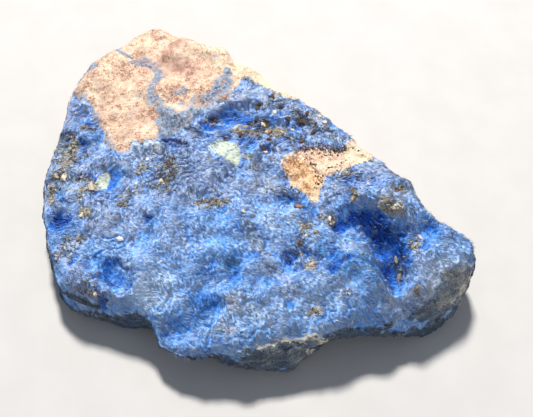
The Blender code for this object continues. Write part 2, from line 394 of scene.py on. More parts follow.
@dataclass(frozen=True)
class Lattice:
    """Soft noise on a lattice, the same at every run."""

    size: float
    seed: int
    gain: float = 1.6

    def at(self, points: Array) -> Array:
        """Reads the noise.

        Args:
            points: Places in millimetres, one row each.

        Returns:
            A value of about -1 to 1 for each place.
        """
        scaled = points / self.size
        cell = np.floor(scaled).astype(np.int64)
        part = scaled - cell
        fade = part**3 * (part * (part * 6 - 15) + 10)
        total = np.zeros(len(points))
        for corner in itertools.product((0, 1), repeat=3):
            step = np.array(corner)
            share = np.prod(np.where(step, fade, 1 - fade), axis=1)
            total += share * ((part - step) * self.slopes(cell + step)).sum(axis=1)
        return self.gain * total

    def slopes(self, cell: Array) -> Array:
        """Draws a slope each way for each lattice corner.

        Args:
            cell: Lattice corners in whole steps, one row each.

        Returns:
            Three values of -1 to 1 for each corner.
        """
        key = (cell * np.array(CELL_KEYS)).sum(axis=1) + self.seed * SEED_KEY
        draws = []
        for turn in (1, 2, 3):
            mixed = (key ^ (key >> 15)) * (MIX_KEY + 2 * turn)
            mixed = (mixed ^ (mixed >> 13)) & DRAW_MASK
            draws.append(mixed / (DRAW_MASK >> 1) - 1)
            key = mixed * TURN_KEY + turn
        return np.stack(draws, axis=1)


def grains_at(points: Array, lattice: Lattice, stray: float = 0.42) -> Array:
    """Measures how far each place is from the nearest grain's heart.

    Args:
        points: Places in millimetres.
        lattice: Draws the grains, one in each of its cells.
        stray: How far a heart strays from the middle of its cell, in cells.

    Returns:
        The distance in grain widths, 0 at a heart and about 0.8 between grains.
    """
    scaled = points / lattice.size
    cell = np.floor(scaled).astype(np.int64)
    nearest = np.full(len(points), FAR)
    for corner in itertools.product((-1, 0, 1), repeat=3):
        home = cell + np.array(corner)
        heart = home + 0.5 + stray * lattice.slopes(home)
        nearest = np.minimum(nearest, np.linalg.norm(scaled - heart, axis=1))
    return nearest


@dataclass(frozen=True)
class Patch:
    """An oval marking in plan, with half sizes in millimetres and its turn in degrees."""

    x: float
    y: float
    long: float
    wide: float
    weight: float = 1.0
    turn: float = 0.0

    def cover(self, plan: Array) -> Array:
        """Gives the marking's strength.

        Args:
            plan: Places in plan, millimetres.

        Returns:
            The strength at each place, 0 outside the oval.
        """
        angle = math.radians(self.turn)
        dx, dy = plan[:, 0] - self.x, plan[:, 1] - self.y
        along = (dx * math.cos(angle) + dy * math.sin(angle)) / self.long
        across = (dy * math.cos(angle) - dx * math.sin(angle)) / self.wide
        return self.weight * soften(FADED, OVAL_FULL, np.hypot(along, across))


def oval(x: int, y: int, long: int, wide: int, weight: int = 100, turn: int = 0) -> Patch:
    """Makes an oval from tenths of a millimetre, a strength in hundredths and a turn in degrees."""
    return Patch(x / 10, y / 10, long / 10, wide / 10, weight / 100, turn)


@dataclass(frozen=True)
class Vein:
    """A marking along a line in plan."""

    line: tuple[Plan, ...]
    wide: float
    weight: float = 1.0

    def cover(self, plan: Array) -> Array:
        """Gives the marking's strength at each place, 0 away from the line."""
        return self.weight * soften(FADED, LINE_FULL, distance_to_line(plan, self.line) / self.wide)


@dataclass(frozen=True)
class Outline:
    """A marking inside a closed outline in plan, with an edge of the given softness."""

    corners: tuple[Plan, ...]
    edge: float = 0.5

    def inside(self, plan: Array) -> Array:
        """Measures how far each place is inside the outline.

        Args:
            plan: Places in plan, millimetres.

        Returns:
            Distances in millimetres, less than 0 outside.
        """
        away = distance_to_line(plan, (*self.corners, self.corners[0]))
        held = np.zeros(len(plan), bool)
        for (ax, ay), (bx, by) in zip(self.corners, (*self.corners[1:], self.corners[0])):
            crosses = (ay > plan[:, 1]) != (by > plan[:, 1])
            rise = (by - ay) or TINY
            held ^= crosses & (plan[:, 0] < (bx - ax) * (plan[:, 1] - ay) / rise + ax)
        return np.where(held, away, -away)

    def cover(self, plan: Array) -> Array:
        """Gives the marking's strength at each place."""
        return soften(-self.edge, self.edge, self.inside(plan))


def distance_to_line(plan: Array, line: tuple[Plan, ...]) -> Array:
    """Measures how far each place is from a line of points in plan.

    Args:
        plan: Places in plan, millimetres.
        line: The line's points.

    Returns:
        Distances in millimetres.
    """
    nearest = np.full(len(plan), FAR)
    for start, end in itertools.pairwise(line):
        a, b = np.array(start), np.array(end)
        run = b - a
        share = np.clip(((plan - a) @ run) / (run @ run), 0, 1)
        nearest = np.minimum(nearest, np.linalg.norm(plan - a - share[:, None] * run, axis=1))
    return nearest


class Mark(Enum):
    """What a marking does to the stone."""

    # DEEP is deep-blue crust in pits and hollows, darkened there further as painted shade.
    DEEP = "deep"
    ROYAL = "royal"
    TEAL = "teal"
    STEEL = "steel"
    # PALE is partly real pale crust and partly painted light on walls and slopes that face away from the key
    # light.
    PALE = "pale"
    # DARK is partly real dark specks and stains and partly painted shadow under ledges, in the gash and in
    # the gully.
    DARK = "dark"
    OLIVE = "olive"
    GREEN = "green"
    RUST = "rust"
    TAN = "tan"
    BARE = "bare"
    CREAM = "cream"
    ORANGE = "orange"
    PINK = "pink"
    DUST = "dust"
    CLUMP = "clump"
    PEPPER = "pepper"
    SLATE = "slate"
    CHIP = "chip"


Covers = dict[Mark, Array]


BACK_WINDOW = (
    (-36.7, 20.5), (-35.1, 19.0), (-33.6, 17.7), (-31.4, 15.5), (-30.2, 11.9), (-28.7, 9.5), (-27.4, 6.0),
    (-26.1, 4.4), (-24.4, 3.8), (-22.8, 4.1), (-22.7, 6.2), (-19.9, 5.4), (-18.5, 6.0), (-17.1, 6.7),
    (-15.8, 6.9), (-14.1, 7.0), (-12.8, 8.1), (-11.7, 9.4), (-10.8, 11.7), (-9.5, 13.1), (-7.5, 13.3),
    (-5.8, 14.1), (-4.5, 14.1), (-3.6, 16.1), (-3.1, 18.5), (-2.7, 19.9), (-0.6, 19.3), (1.7, 17.5),
    (4.1, 15.8), (6.9, 14.7), (9.5, 14.4), (14.0, 14.0), (6.0, 22.0), (-4.0, 30.0), (-14.0, 38.0),
    (-26.0, 36.0), (-38.0, 28.0),
)

RIGHT_WINDOW = (
    (5.3, 1.5), (6.7, 2.5), (8.8, 3.1), (11.8, 3.9), (14.7, 3.4), (16.5, 3.1), (17.5, 4.7), (18.8, 4.9),
    (20.2, 8.6), (25.6, 2.6), (20.5, 0.0), (18.3, -1.5), (16.8, -2.3), (15.6, -2.8), (14.1, -2.5),
    (13.0, -3.0), (12.6, -5.3), (11.7, -6.4), (11.7, -7.6), (10.1, -7.5), (9.2, -6.3), (8.5, -5.3),
    (6.6, -5.0), (6.2, -2.9), (5.2, -1.5), (4.8, 0.1),
)

GREEN_WINDOW = (
    (-8.2, 4.8), (-7.3, 5.3), (-6.0, 5.5), (-4.4, 5.4), (-2.7, 4.3), (-2.3, 2.8), (-2.3, 1.4), (-2.6, -0.1),
    (-4.1, 0.0), (-5.3, 1.1), (-6.7, 3.3), (-7.8, 3.9),
)

RIM_STRIP = (
    (-4.7, 20.7), (-2.6, 19.9), (0.0, 18.3), (2.3, 15.6), (4.7, 14.2), (7.0, 13.9), (12.0, 12.0),
    (6.0, 24.0), (-4.0, 30.0),
)

LOBE_FACE = (
    (32.4, -21.6), (34.4, -21.0), (36.9, -19.7), (38.4, -19.6), (38.3, -20.9), (38.0, -21.4), (35.3, -25.0),
    (32.7, -26.8), (29.0, -28.2), (25.9, -28.7), (28.0, -26.9), (30.1, -25.4), (31.8, -23.1),
)

FRONT_FACE = (
    (-3.2, -35.2), (0.8, -34.1), (5.8, -32.9), (12.5, -31.9), (16.5, -30.6), (16.4, -30.6), (13.1, -34.1),
    (9.7, -36.9), (6.2, -35.7), (0.6, -35.3),
)

# Markings along lines, and those with an outline of their own.
LINES_AND_AREAS: dict[Mark, tuple] = {
    Mark.BARE: (
        Outline(BACK_WINDOW, 0.35), Outline(RIGHT_WINDOW, 0.35),
    ),
    Mark.GREEN: (
        Outline(GREEN_WINDOW, 0.4),
    ),
    Mark.CREAM: (
        Outline(RIM_STRIP, 0.8),
    ),
    Mark.DUST: (
        Vein(((-27.6, 30.1), (-26.2, 28.3), (-24.9, 27.3)), 0.6, 0.9),
        Vein((
            (-23.8, 25.7), (-21.6, 26.0), (-20.2, 25.4), (-19.0, 24.5), (-18.3, 22.2), (-19.2, 20.8),
            (-19.8, 18.4), (-19.5, 16.6), (-18.2, 14.7), (-16.6, 12.3),
        ), 0.95, 0.82),
        Vein(((-35.1, 19.0), (-31.4, 15.5), (-28.7, 9.5), (-26.1, 4.4), (-22.8, 3.9)), 1.0, 0.5),
        Vein(((-22.7, 5.9), (-18.5, 5.4), (-17.1, 6.7)), 0.8, 0.5),
    ),
    Mark.PEPPER: (
        Vein(((8.3, 2.9), (9.8, 3.3), (11.6, 4.1), (13.4, 3.8), (15.2, 3.1), (16.6, 3.0)), 0.7, 0.95),
        Vein(((9.7, 1.5), (10.8, -0.2), (11.6, -1.8), (12.3, -3.8), (12.2, -5.3)), 0.7, 0.5),
    ),
    # The gully: deep-blue crust, darkened as painted shade where the knob's flank shades it.
    Mark.DEEP: (
        Vein((
            (16.3, -10.4), (18.5, -11.2), (20.4, -12.3), (22.1, -13.7), (23.8, -15.1), (25.0, -16.8),
            (25.6, -18.6), (25.4, -20.4), (24.4, -22.3),
        ), 1.25),
        Vein(((14.7, -12.5), (16.2, -11.7), (17.7, -11.6), (19.3, -12.0), (21.1, -13.1)), 1.2),
    ),
    Mark.STEEL: (
        Vein(((-0.8, -12.3), (0.0, -14.4), (1.1, -16.8), (2.8, -20.0)), 1.2, 0.9),
        Vein(((2.8, -20.0), (4.8, -22.8), (6.8, -25.3)), 1.6, 0.7),
    ),
    # Painted shadow: the gully's dark band, the dark line under the lip's ledge, and the gash under the ledge
    # at the left front.
    Mark.DARK: (
        Vein(((15.1, -12.3), (17.2, -11.5), (19.3, -12.1), (20.8, -12.9)), 0.9, 0.6),
        Vein(((-16.7, 5.9), (-15.3, 5.9), (-13.8, 5.4), (-12.1, 4.4)), 0.5),
        Vein(((-24.9, -17.9), (-24.0, -18.4), (-22.9, -19.2), (-21.4, -20.6), (-20.1, -21.9)), 0.32, 0.6),
    ),
    Mark.SLATE: (
        Outline(LOBE_FACE, 0.5), Outline(FRONT_FACE, 0.4),
    ),
    Mark.CHIP: (
        Vein(((0.8, -34.0), (3.1, -33.4), (5.8, -32.8), (8.9, -32.5), (12.5, -31.9)), 0.22, 0.85),
        Vein(((37.9, -20.3), (37.1, -21.8), (36.6, -22.4), (34.7, -24.9)), 0.22, 0.6),
    ),
}

# Oval markings: x, y, half length and half width in tenths of a millimetre, then the strength in hundredths
# unless it is 100, and the turn in degrees unless it is 0.
OVALS: dict[Mark, tuple[tuple[int, ...], ...]] = {
    Mark.GREEN: (
        (-275, -21, 13, 21, 95, -20), (-8, 15, 9, 6, 70),
    ),
    Mark.CREAM: (
        (-109, 267, 51, 19, 45, 10), (-61, 236, 22, 21, 60), (-306, 179, 14, 21, 40),
        (-242, 168, 29, 17, 30), (64, -24, 7, 29, 60), (140, -1, 29, 10, 50), (110, -69, 11, 8),
        (65, -47, 19, 10, 100, -20), (185, 22, 37, 16, 100, -30), (68, 16, 17, 8, 80, 20),
    ),
    Mark.ORANGE: (
        (84, -17, 33, 24, 100, -25), (105, -44, 19, 23, 100, -20), (72, 1, 14, 13, 60),
    ),
    Mark.PINK: (
        (-152, 251, 73, 47, 80, -10), (-218, 104, 25, 21, 30), (144, 7, 26, 14, 50, -10),
    ),
    Mark.DUST: (
        (-159, 103, 29, 29, 92), (-156, 77, 24, 17, 95), (-130, 97, 44, 33, 90, 30),
        (-106, 123, 27, 18, 80, 20), (-128, 140, 14, 10, 50), (-178, 147, 16, 17, 50), (-133, 174, 9, 7),
        (-148, 170, 16, 6, 60), (-323, 250, 16, 11, 80, 30), (-344, 238, 10, 21, 70, -20),
        (-75, 251, 7, 5, 60), (-51, 210, 9, 15, 85), (-60, 183, 18, 33, 85, -30),
        (-80, 151, 34, 15, 80, 20), (-107, 145, 31, 16, 60, 30), (-40, 152, 14, 13, 80),
        (-223, 178, 9, 7, 50), (-132, 120, 5, 4), (-199, 169, 11, 25, 40),
    ),
    Mark.CLUMP: (
        (193, 13, 9, 7, 70), (-172, 229, 11, 10, 70), (-253, 293, 11, 8, 70), (-294, 138, 14, 26, 50, -20),
        (-237, 109, 16, 13, 50), (-218, 146, 13, 13, 40), (-263, 184, 14, 10, 50), (-222, 73, 16, 8, 60),
        (-264, 69, 11, 10, 50), (-227, 172, 14, 13, 45), (-158, 241, 20, 17, 70), (-173, 259, 13, 10, 40),
        (-229, 267, 14, 13, 40), (-238, 215, 22, 17, 50), (-205, 236, 16, 15, 35),
        (-286, 195, 30, 14, 50, 10), (-303, 209, 16, 15, 40), (-262, 159, 29, 15, 40, 20),
        (-196, 323, 11, 8, 70), (-145, 289, 9, 8, 60), (-270, 231, 9, 8, 60), (-286, 170, 11, 10, 70),
        (-248, 80, 22, 15, 75), (-269, 122, 11, 10, 60), (-231, 135, 11, 10, 50), (-201, 107, 9, 8, 50),
        (-119, 214, 9, 6, 50), (-95, 222, 9, 8, 50), (-244, 199, 11, 8, 50), (-217, 291, 9, 6, 60),
    ),
    Mark.PEPPER: (
        (141, 18, 22, 6, 50), (120, 31, 25, 6, 60), (69, -58, 16, 11, 40, -30), (59, -28, 5, 17, 45),
        (158, -4, 14, 8, 40), (145, -14, 14, 8, 45), (181, 27, 21, 8, 40, -30),
    ),
    # Pits and hollows of deep-blue crust, their darkening partly painted shade.
    Mark.DEEP: (
        (296, -170, 9, 10), (66, -275, 11, 8), (4, -181, 11, 8, 80), (-3, 35, 9, 8, 85),
        (-344, -39, 7, 8, 80), (-30, -222, 11, 8, 80), (43, -235, 18, 8, 50), (-72, -296, 11, 10, 80),
        (308, -147, 14, 27, 85), (-30, 109, 27, 11, 75), (17, 91, 14, 13, 60), (-18, 57, 11, 13, 60),
        (-83, 109, 9, 6, 40), (51, 107, 13, 8, 50), (221, -137, 34, 15, 100, -30), (242, -180, 18, 38, 95),
        (224, -162, 14, 25, 80), (239, -204, 16, 29, 95), (-71, 89, 24, 9, 95), (-50, 70, 16, 7, 40),
        (242, -227, 18, 13, 70), (147, -192, 23, 11, 80, -15), (93, -176, 14, 13, 70),
        (119, -166, 13, 10, 40), (301, -138, 21, 24, 65, -30), (305, -167, 13, 15, 60),
        (-345, -100, 16, 23), (-250, -198, 13, 19, 100, -10), (-213, -234, 11, 13),
        (-237, -215, 21, 14, 70, -35), (-279, -176, 6, 7, 50), (-268, -177, 7, 8, 30),
        (-211, -188, 7, 5, 50), (-318, -181, 7, 8), (-79, -270, 31, 18, 100, -20), (-91, -282, 13, 17, 70),
        (-130, -293, 14, 15, 60), (-69, -291, 7, 17, 45), (-254, -16, 14, 23, 70, -20),
        (-287, -41, 18, 7, 80, 15), (-256, -10, 14, 10, 60, -20), (246, -235, 14, 13, 85),
        (157, -197, 13, 8, 80), (197, -104, 18, 15, 35), (-326, 71, 7, 10, 80), (-320, 118, 7, 8, 60),
        (-188, -105, 13, 7, 70, -30), (-53, -94, 9, 8, 80), (60, -72, 18, 5, 90, 4),
        (83, -75, 21, 6, 80, -15), (44, -65, 9, 4, 50), (102, -92, 13, 11, 90, -30), (206, -56, 9, 7, 70),
        (140, -212, 10, 15), (162, -200, 14, 8, 60), (-30, -201, 13, 13, 40),
    ),
    Mark.ROYAL: (
        (-204, 42, 18, 15, 90), (-171, -243, 40, 31, 45), (-66, -182, 36, 27, 70), (-33, -198, 24, 25, 70),
        (-81, -208, 29, 19, 60), (-86, -278, 68, 39, 80, 20), (-127, -296, 29, 27, 70),
        (-345, -100, 25, 31, 80), (-243, -202, 53, 36, 70, -20), (237, -186, 36, 59, 85),
        (185, -249, 43, 23, 50), (306, -151, 22, 36, 80), (-32, 111, 49, 21, 85), (17, 97, 36, 29, 55),
        (-14, 56, 22, 17, 40), (65, 64, 29, 17, 50), (185, -214, 47, 46, 65), (134, -163, 25, 21, 30),
        (234, -190, 25, 54, 60), (-134, 119, 5, 5, 90), (-176, -241, 36, 38, 45), (18, -298, 72, 33, 40),
        (-138, -258, 47, 50, 20), (114, -261, 72, 42, 25), (-244, -163, 43, 33, 20),
        (168, -211, 47, 46, 35), (329, -178, 40, 25, 25), (-76, 83, 33, 17, 70), (116, -201, 47, 33, 35),
        (-189, 21, 36, 15, 20), (-62, -197, 54, 42, 25), (297, -160, 36, 29, 25),
        (-141, 43, 26, 12, 60, -10), (176, -50, 18, 19, 50), (286, -144, 25, 21, 40),
        (-275, -18, 36, 25, 50), (-292, 84, 13, 13, 80), (-197, 42, 16, 15, 70), (-172, -236, 51, 46, 70),
        (81, -295, 90, 38, 30), (-27, -305, 72, 38, 25), (-2, -266, 127, 84, 12),
    ),
    Mark.TEAL: (
        (156, -146, 18, 17, 35), (206, -98, 22, 25, 40), (229, -121, 25, 10, 50), (163, -84, 25, 17, 30),
        (21, 147, 33, 15, 35), (144, 95, 52, 19, 35, -30), (58, -89, 33, 19, 25), (192, -210, 25, 29, 35),
        (-261, 44, 22, 17, 30), (-297, 79, 11, 10, 40), (117, -179, 10, 9, 95), (-37, -199, 16, 13, 70),
        (-51, -155, 24, 17, 40), (-292, 84, 11, 8, 40), (-350, -46, 11, 10, 70), (-311, -179, 7, 8, 60),
        (157, -209, 16, 17, 40), (221, -142, 29, 13, 60, -20), (256, -153, 11, 8, 80),
        (-187, -11, 11, 10, 50), (83, -183, 16, 13, 50), (-157, 106, 16, 17, 50), (197, -145, 14, 10, 40),
    ),
    Mark.STEEL: (
        (164, -175, 14, 10, 70), (193, -44, 22, 19, 70), (88, 118, 40, 16, 30, -25), (148, -57, 29, 25, 45),
        (-352, -10, 25, 84, 30), (-25, 123, 54, 17, 20), (-279, -91, 29, 33, 40), (-67, -39, 47, 25, 40),
        (23, -51, 29, 27, 45), (-233, -100, 36, 42, 30), (-302, -214, 18, 25, 40), (-138, -134, 29, 38, 25),
        (194, -39, 25, 21, 55), (41, 155, 18, 10, 60), (-2, 147, 29, 13, 30), (110, 112, 26, 16, 50, -30),
        (-95, 6, 29, 19, 35), (-120, -47, 33, 21, 30), (-152, 41, 30, 14, 80, -10), (-133, 25, 24, 15, 85),
        (-169, 4, 24, 19, 75), (-157, -29, 14, 19, 60), (-101, -27, 51, 21, 45, -10),
        (-346, 42, 19, 57, 60, 10), (-324, -159, 14, 27, 60), (-283, -237, 34, 18, 60, -20),
        (149, 152, 59, 17, 35, -35), (28, 136, 29, 10, 50), (283, -185, 18, 21, 35),
        (322, -236, 47, 22, 80, 30), (173, -34, 16, 8, 80), (86, -186, 18, 21, 60),
        (263, -264, 41, 22, 50, 15), (-219, -65, 20, 19, 40), (-267, -121, 25, 19, 35),
        (-366, 91, 11, 32, 50, -15),
    ),
    # Paler crust; many of these ovals are painted light, lifting hollow walls and slopes that the key light
    # leaves in shade.
    Mark.PALE: (
        (170, -101, 13, 8, 90), (-250, 8, 11, 13, 80), (-114, -60, 14, 10, 80), (100, -160, 14, 13, 80),
        (-43, 131, 14, 8, 70), (-224, -189, 26, 14, 100, -30), (233, -124, 14, 10), (-15, -285, 20, 15),
        (-204, 42, 18, 15, 75), (128, 96, 26, 16, 50, -30), (-74, 25, 10, 30, 80, -30), (73, 76, 7, 5, 60),
        (36, 110, 9, 5, 60), (2, 118, 7, 4, 50), (-20, 84, 5, 4, 50), (106, 61, 11, 5, 50),
        (-8, 34, 9, 6, 50), (-58, 130, 33, 8, 60), (-199, 42, 27, 17, 150), (250, -123, 18, 19, 130),
        (233, -148, 27, 21, 40, -20), (-331, 159, 14, 21, 45), (-252, 5, 22, 10, 50),
        (-10, 144, 83, 19, 70, 8), (18, -291, 109, 46, 35), (114, -257, 72, 38, 35),
        (81, -326, 86, 19, 30, -10), (178, -211, 40, 29, 15), (318, -180, 47, 29, 25),
        (200, -104, 55, 25, 35, 15), (275, -70, 22, 25, 50), (254, -97, 18, 25, 40),
        (-257, -154, 36, 21, 30), (251, -252, 29, 17, 30), (-171, -243, 47, 38), (-38, -295, 43, 29, 55),
        (49, -112, 33, 33, 45), (233, -110, 25, 13, 70), (335, -225, 52, 38, 80, 30), (23, -47, 25, 25, 40),
        (-160, -137, 43, 25, 15), (81, -306, 64, 19, 30, -10), (-224, 49, 11, 8, 50),
        (-25, 139, 25, 13, 40), (240, -98, 14, 8, 50), (280, -133, 18, 10, 30), (-345, -77, 19, 7, 70, 10),
        (-243, -130, 7, 8, 80), (-225, 13, 22, 15, 50), (-173, -198, 36, 21, 40, -10),
        (223, -95, 18, 13, 80), (345, -183, 34, 23, 55, -20), (81, -244, 48, 21, 45, -20),
        (-2, -285, 31, 19, 90), (19, -108, 34, 14, 50, -10), (171, -173, 30, 28, 30, -40),
        (-145, -269, 19, 34, 50, 20), (-26, -338, 40, 13, 40), (-188, -259, 29, 21, 50, -20),
        (-73, 85, 19, 9, 40, 10),
    ),
    # Dark specks and stains, and painted shade in hollows, the gully and under ledges.
    Mark.DARK: (
        (153, -199, 11, 7, 90), (110, -188, 7, 8, 60), (-73, 89, 14, 6, 30), (82, -205, 9, 8, 40),
        (-296, -16, 9, 8, 60), (140, -212, 7, 8, 40), (-318, -181, 5, 6, 40), (221, -143, 14, 17, 60),
        (157, -197, 11, 7, 60), (232, -181, 20, 42, 30), (208, -131, 35, 19, 30, 25),
        (-348, -94, 13, 13, 45), (65, 87, 7, 5, 50), (-47, 108, 7, 4, 30), (-1, 46, 7, 6, 60),
        (-11, 98, 7, 6, 60), (10, 82, 5, 8, 60), (-50, 61, 13, 5, 50), (-106, 77, 17, 8, 50, -20),
        (-87, 66, 11, 5, 40), (76, 75, 9, 5, 50), (63, 94, 5, 4, 50), (-141, 47, 24, 5, 30, -12),
        (173, -42, 19, 8, 50, 20), (162, -20, 11, 5, 50), (32, 147, 9, 4, 60), (45, 139, 9, 3, 50),
        (28, 156, 5, 3, 70), (23, 27, 11, 10, 90), (89, 85, 12, 6, 70, -20), (121, 73, 11, 5, 60),
        (145, 72, 9, 4, 50), (108, 81, 5, 4, 60), (-18, 50, 7, 8, 60), (10, 54, 7, 6, 50),
        (-72, 105, 11, 5, 60), (-90, 99, 9, 6, 50), (-318, 116, 9, 6, 60), (-330, 134, 5, 8, 50),
        (-305, 102, 7, 6, 40), (266, 27, 7, 6, 30), (190, -44, 9, 6, 50), (177, -25, 9, 6, 50),
        (208, -47, 7, 5, 50), (229, -129, 18, 7, 40, -15), (258, -139, 16, 11, 50, -30), (23, 27, 7, 8, 90),
        (11, 129, 7, 5, 90), (54, 126, 5, 5, 90), (82, 107, 10, 7, 50, -30), (95, 99, 10, 7, 40, -30),
        (112, 87, 10, 5, 50, -30), (135, 71, 14, 5, 40, -15), (-316, 97, 8, 5, 80),
        (-330, 145, 9, 12, 60, 30), (-188, -105, 10, 5, 50, -30), (256, -153, 9, 6, 90),
        (208, -125, 19, 8, 50, -20), (244, -164, 10, 15, 35, -20), (-263, -235, 7, 8, 60),
        (-258, -254, 9, 9, 60), (-77, 108, 11, 8, 60), (-150, 7, 7, 18, 40, -20), (153, -197, 9, 6, 80),
        (62, -187, 14, 7, 60, -15), (-316, -9, 11, 7, 60), (32, 101, 7, 6, 50), (-13, 83, 7, 5, 50),
        (150, 30, 13, 3, 50),
    ),
    Mark.OLIVE: (
        (99, -196, 9, 8, 80), (-360, 34, 22, 63, 40), (-167, -14, 29, 57, 30, 20), (-117, 81, 14, 10, 40),
        (-347, 89, 9, 8, 80), (-342, 68, 11, 15), (-348, 44, 13, 13), (-369, 33, 11, 13, 80),
        (-354, 10, 14, 13, 80), (-359, -7, 7, 8, 90), (-316, 42, 9, 6, 80), (-316, -13, 13, 8, 80),
        (-303, -35, 15, 8, 80, 10), (-314, -49, 11, 8, 70), (-204, 6, 11, 17, 95, -35),
        (-219, -43, 14, 13, 70), (-233, -66, 11, 10, 50), (-150, 3, 10, 21, 70, -20),
        (-159, -18, 5, 19, 70), (-370, -37, 7, 19, 80), (-357, -61, 7, 8, 70), (-309, -85, 11, 10, 80),
        (-75, -78, 33, 9), (-3, -8, 11, 7, 60), (28, -52, 30, 9, 60, -15), (-1, 62, 14, 10, 90),
        (21, 89, 9, 13, 90), (43, 73, 13, 8, 90), (-77, 108, 13, 9, 80), (88, 102, 31, 16, 45, -30),
        (132, 74, 33, 9, 40, -18), (-23, 67, 9, 8, 70), (39, 6, 7, 6, 70), (-325, -146, 14, 19, 80),
        (-343, -164, 7, 17, 70), (-308, -132, 13, 7, 90, -25), (-212, -148, 7, 7, 70),
        (-303, -182, 5, 6, 60), (-287, -231, 14, 10, 60), (-268, -240, 11, 7, 60), (88, -138, 13, 13, 80),
        (133, -110, 17, 6, 100, -10), (90, -179, 14, 19, 70), (99, -205, 13, 8, 80), (166, -32, 16, 7, 60),
        (178, -72, 6, 15, 90), (252, -80, 13, 9, 70), (241, -113, 20, 9, 50), (277, -170, 13, 10, 70),
        (253, -215, 7, 13, 60), (279, -251, 5, 13, 60), (364, -221, 10, 24, 80, -25),
        (103, -285, 11, 6, 60), (158, -253, 11, 8, 40),
    ),
    Mark.RUST: (
        (17, 72, 7, 6, 80), (28, 87, 5, 8, 60), (2, 103, 5, 5, 60), (58, 61, 5, 4, 50), (35, 49, 5, 4, 50),
        (-46, 65, 7, 5, 50), (233, -110, 15, 8, 20, -25), (254, -77, 14, 8, 70, 20), (239, -85, 9, 5, 50),
        (9, 130, 9, 6), (24, 125, 5, 4, 70), (19, 92, 7, 8, 80), (-7, 95, 7, 6, 80), (4, 79, 7, 6, 80),
        (-39, 73, 9, 5, 50), (-23, 64, 9, 6, 70), (-12, 68, 7, 6, 70), (32, 70, 7, 6, 70),
        (10, 59, 9, 6, 60), (24, 80, 5, 8, 70), (91, 51, 5, 6, 90), (93, 92, 10, 7, 70, -30),
        (110, 85, 8, 7, 50, -30), (123, 75, 7, 4, 50), (-70, 109, 9, 6, 70), (-81, 112, 9, 5, 60),
        (47, 124, 5, 4, 40), (-154, 13, 10, 15, 50, -20), (-145, -13, 7, 17, 50),
        (-317, 102, 13, 6, 90, -10), (-361, -4, 5, 6, 80), (-155, -37, 5, 17, 50),
        (-180, -37, 13, 7, 50, -30), (83, -84, 5, 5, 90), (88, -132, 7, 6, 70), (110, -147, 5, 5, 90),
        (81, -163, 5, 5, 90), (11, 129, 7, 4, 80), (-316, 97, 9, 4, 80), (-5, 60, 5, 6, 70),
        (209, 6, 16, 5, 90, -35), (280, -252, 4, 10, 80), (-302, -134, 8, 4, 90, -30),
    ),
    Mark.TAN: (
        (233, -110, 20, 12, 95, -25), (248, -112, 14, 13, 95, 20), (222, -111, 7, 8, 80),
        (-71, -78, 33, 10, 40), (-364, 59, 13, 19, 40), (-85, 113, 9, 6, 60), (-123, 85, 9, 8, 50),
        (-31, 79, 7, 6, 50), (-341, -34, 13, 10, 40), (-24, 77, 18, 8, 80, -25), (-1, 62, 9, 8, 70),
        (45, 72, 17, 11, 90, 10), (17, 88, 7, 10, 80), (30, 81, 7, 6, 60), (118, 110, 16, 11, 40, 30),
        (128, 92, 16, 8, 40, -30), (76, 101, 17, 8, 50, -20), (153, 58, 16, 11, 50, -30),
        (-10, 15, 11, 6, 80), (-359, -7, 11, 10, 80), (-347, -5, 13, 10, 80), (-351, 34, 11, 19, 60),
        (-341, 61, 11, 13, 60), (-299, -33, 19, 15, 90, 20), (-311, -53, 9, 8, 50), (-301, -84, 13, 10, 80),
        (-203, 6, 7, 10, 80), (-233, -66, 7, 13, 50), (-157, -33, 9, 19, 50), (-84, -77, 25, 8, 60),
        (-53, -75, 13, 6, 50), (3, -11, 13, 6, 40), (87, -136, 13, 10, 70), (101, -127, 9, 6, 60),
        (133, -110, 19, 7, 80, -10), (97, -205, 13, 8, 80), (103, -285, 13, 8, 60), (166, -32, 18, 8, 70),
        (178, -76, 5, 13, 70), (-35, -314, 16, 8, 30), (-29, -268, 9, 17, 40), (-42, -261, 5, 13, 40),
        (253, -213, 9, 15, 60), (277, -170, 11, 10, 60), (250, -188, 15, 7, 60, 10), (-370, -43, 7, 21, 70),
        (70, 54, 7, 6, 60), (40, 149, 11, 6, 50), (41, 141, 14, 6, 40), (58, 136, 9, 5, 50),
    ),
}

MARKINGS: dict[Mark, tuple] = {
    mark: (*LINES_AND_AREAS.get(mark, ()), *(oval(*row) for row in OVALS.get(mark, ()))) for mark in Mark
}

# Where the markings of the crust draw its hue to, in this order.
HUES: dict[Mark, float] = {
    Mark.STEEL: 0.58, Mark.ROYAL: 0.21, Mark.DEEP: 0.15, Mark.TEAL: 0.04, Mark.DARK: 0.32,
}

# How much paler or deeper these markings make the crust.
TONES: dict[Mark, float] = {
    Mark.TAN: 0.02, Mark.ROYAL: -0.08, Mark.TEAL: -0.1, Mark.OLIVE: -0.05, Mark.STEEL: -0.08,
}


@dataclass(frozen=True)
class Markings:
    """Works out, for any points of the stone, which marking lies there and how strongly."""

    ragged: float = 0.55
    broken: float = 0.42
    warps: tuple[Lattice, ...] = (Lattice(2.1, 11), Lattice(2.1, 12), Lattice(0.75, 13), Lattice(0.75, 14))

    def covers(self, points: Array) -> Covers:
        """Reads every marking, with its edges made ragged.

        Args:
            points: Places on the stone in millimetres.

        Returns:
            A strength of 0 to 1 at each place for each marking.
        """
        wide_x, wide_y, fine_x, fine_y = (warp.at(points) for warp in self.warps)
        shift_x = self.ragged * wide_x + self.broken * fine_x
        shift_y = self.ragged * wide_y + self.broken * fine_y
        plan = points[:, :2] + np.stack((shift_x, shift_y), axis=1)
        return {
            mark: np.max([shape.cover(plan) for shape in shapes], axis=0) for mark, shapes in MARKINGS.items()
        }


# ------------------------ finishes


# Places along the crust's colours, from deep in the nap to the needles' tips.
NAP = (0.0, 0.28, 0.55, 0.8, 1.0)


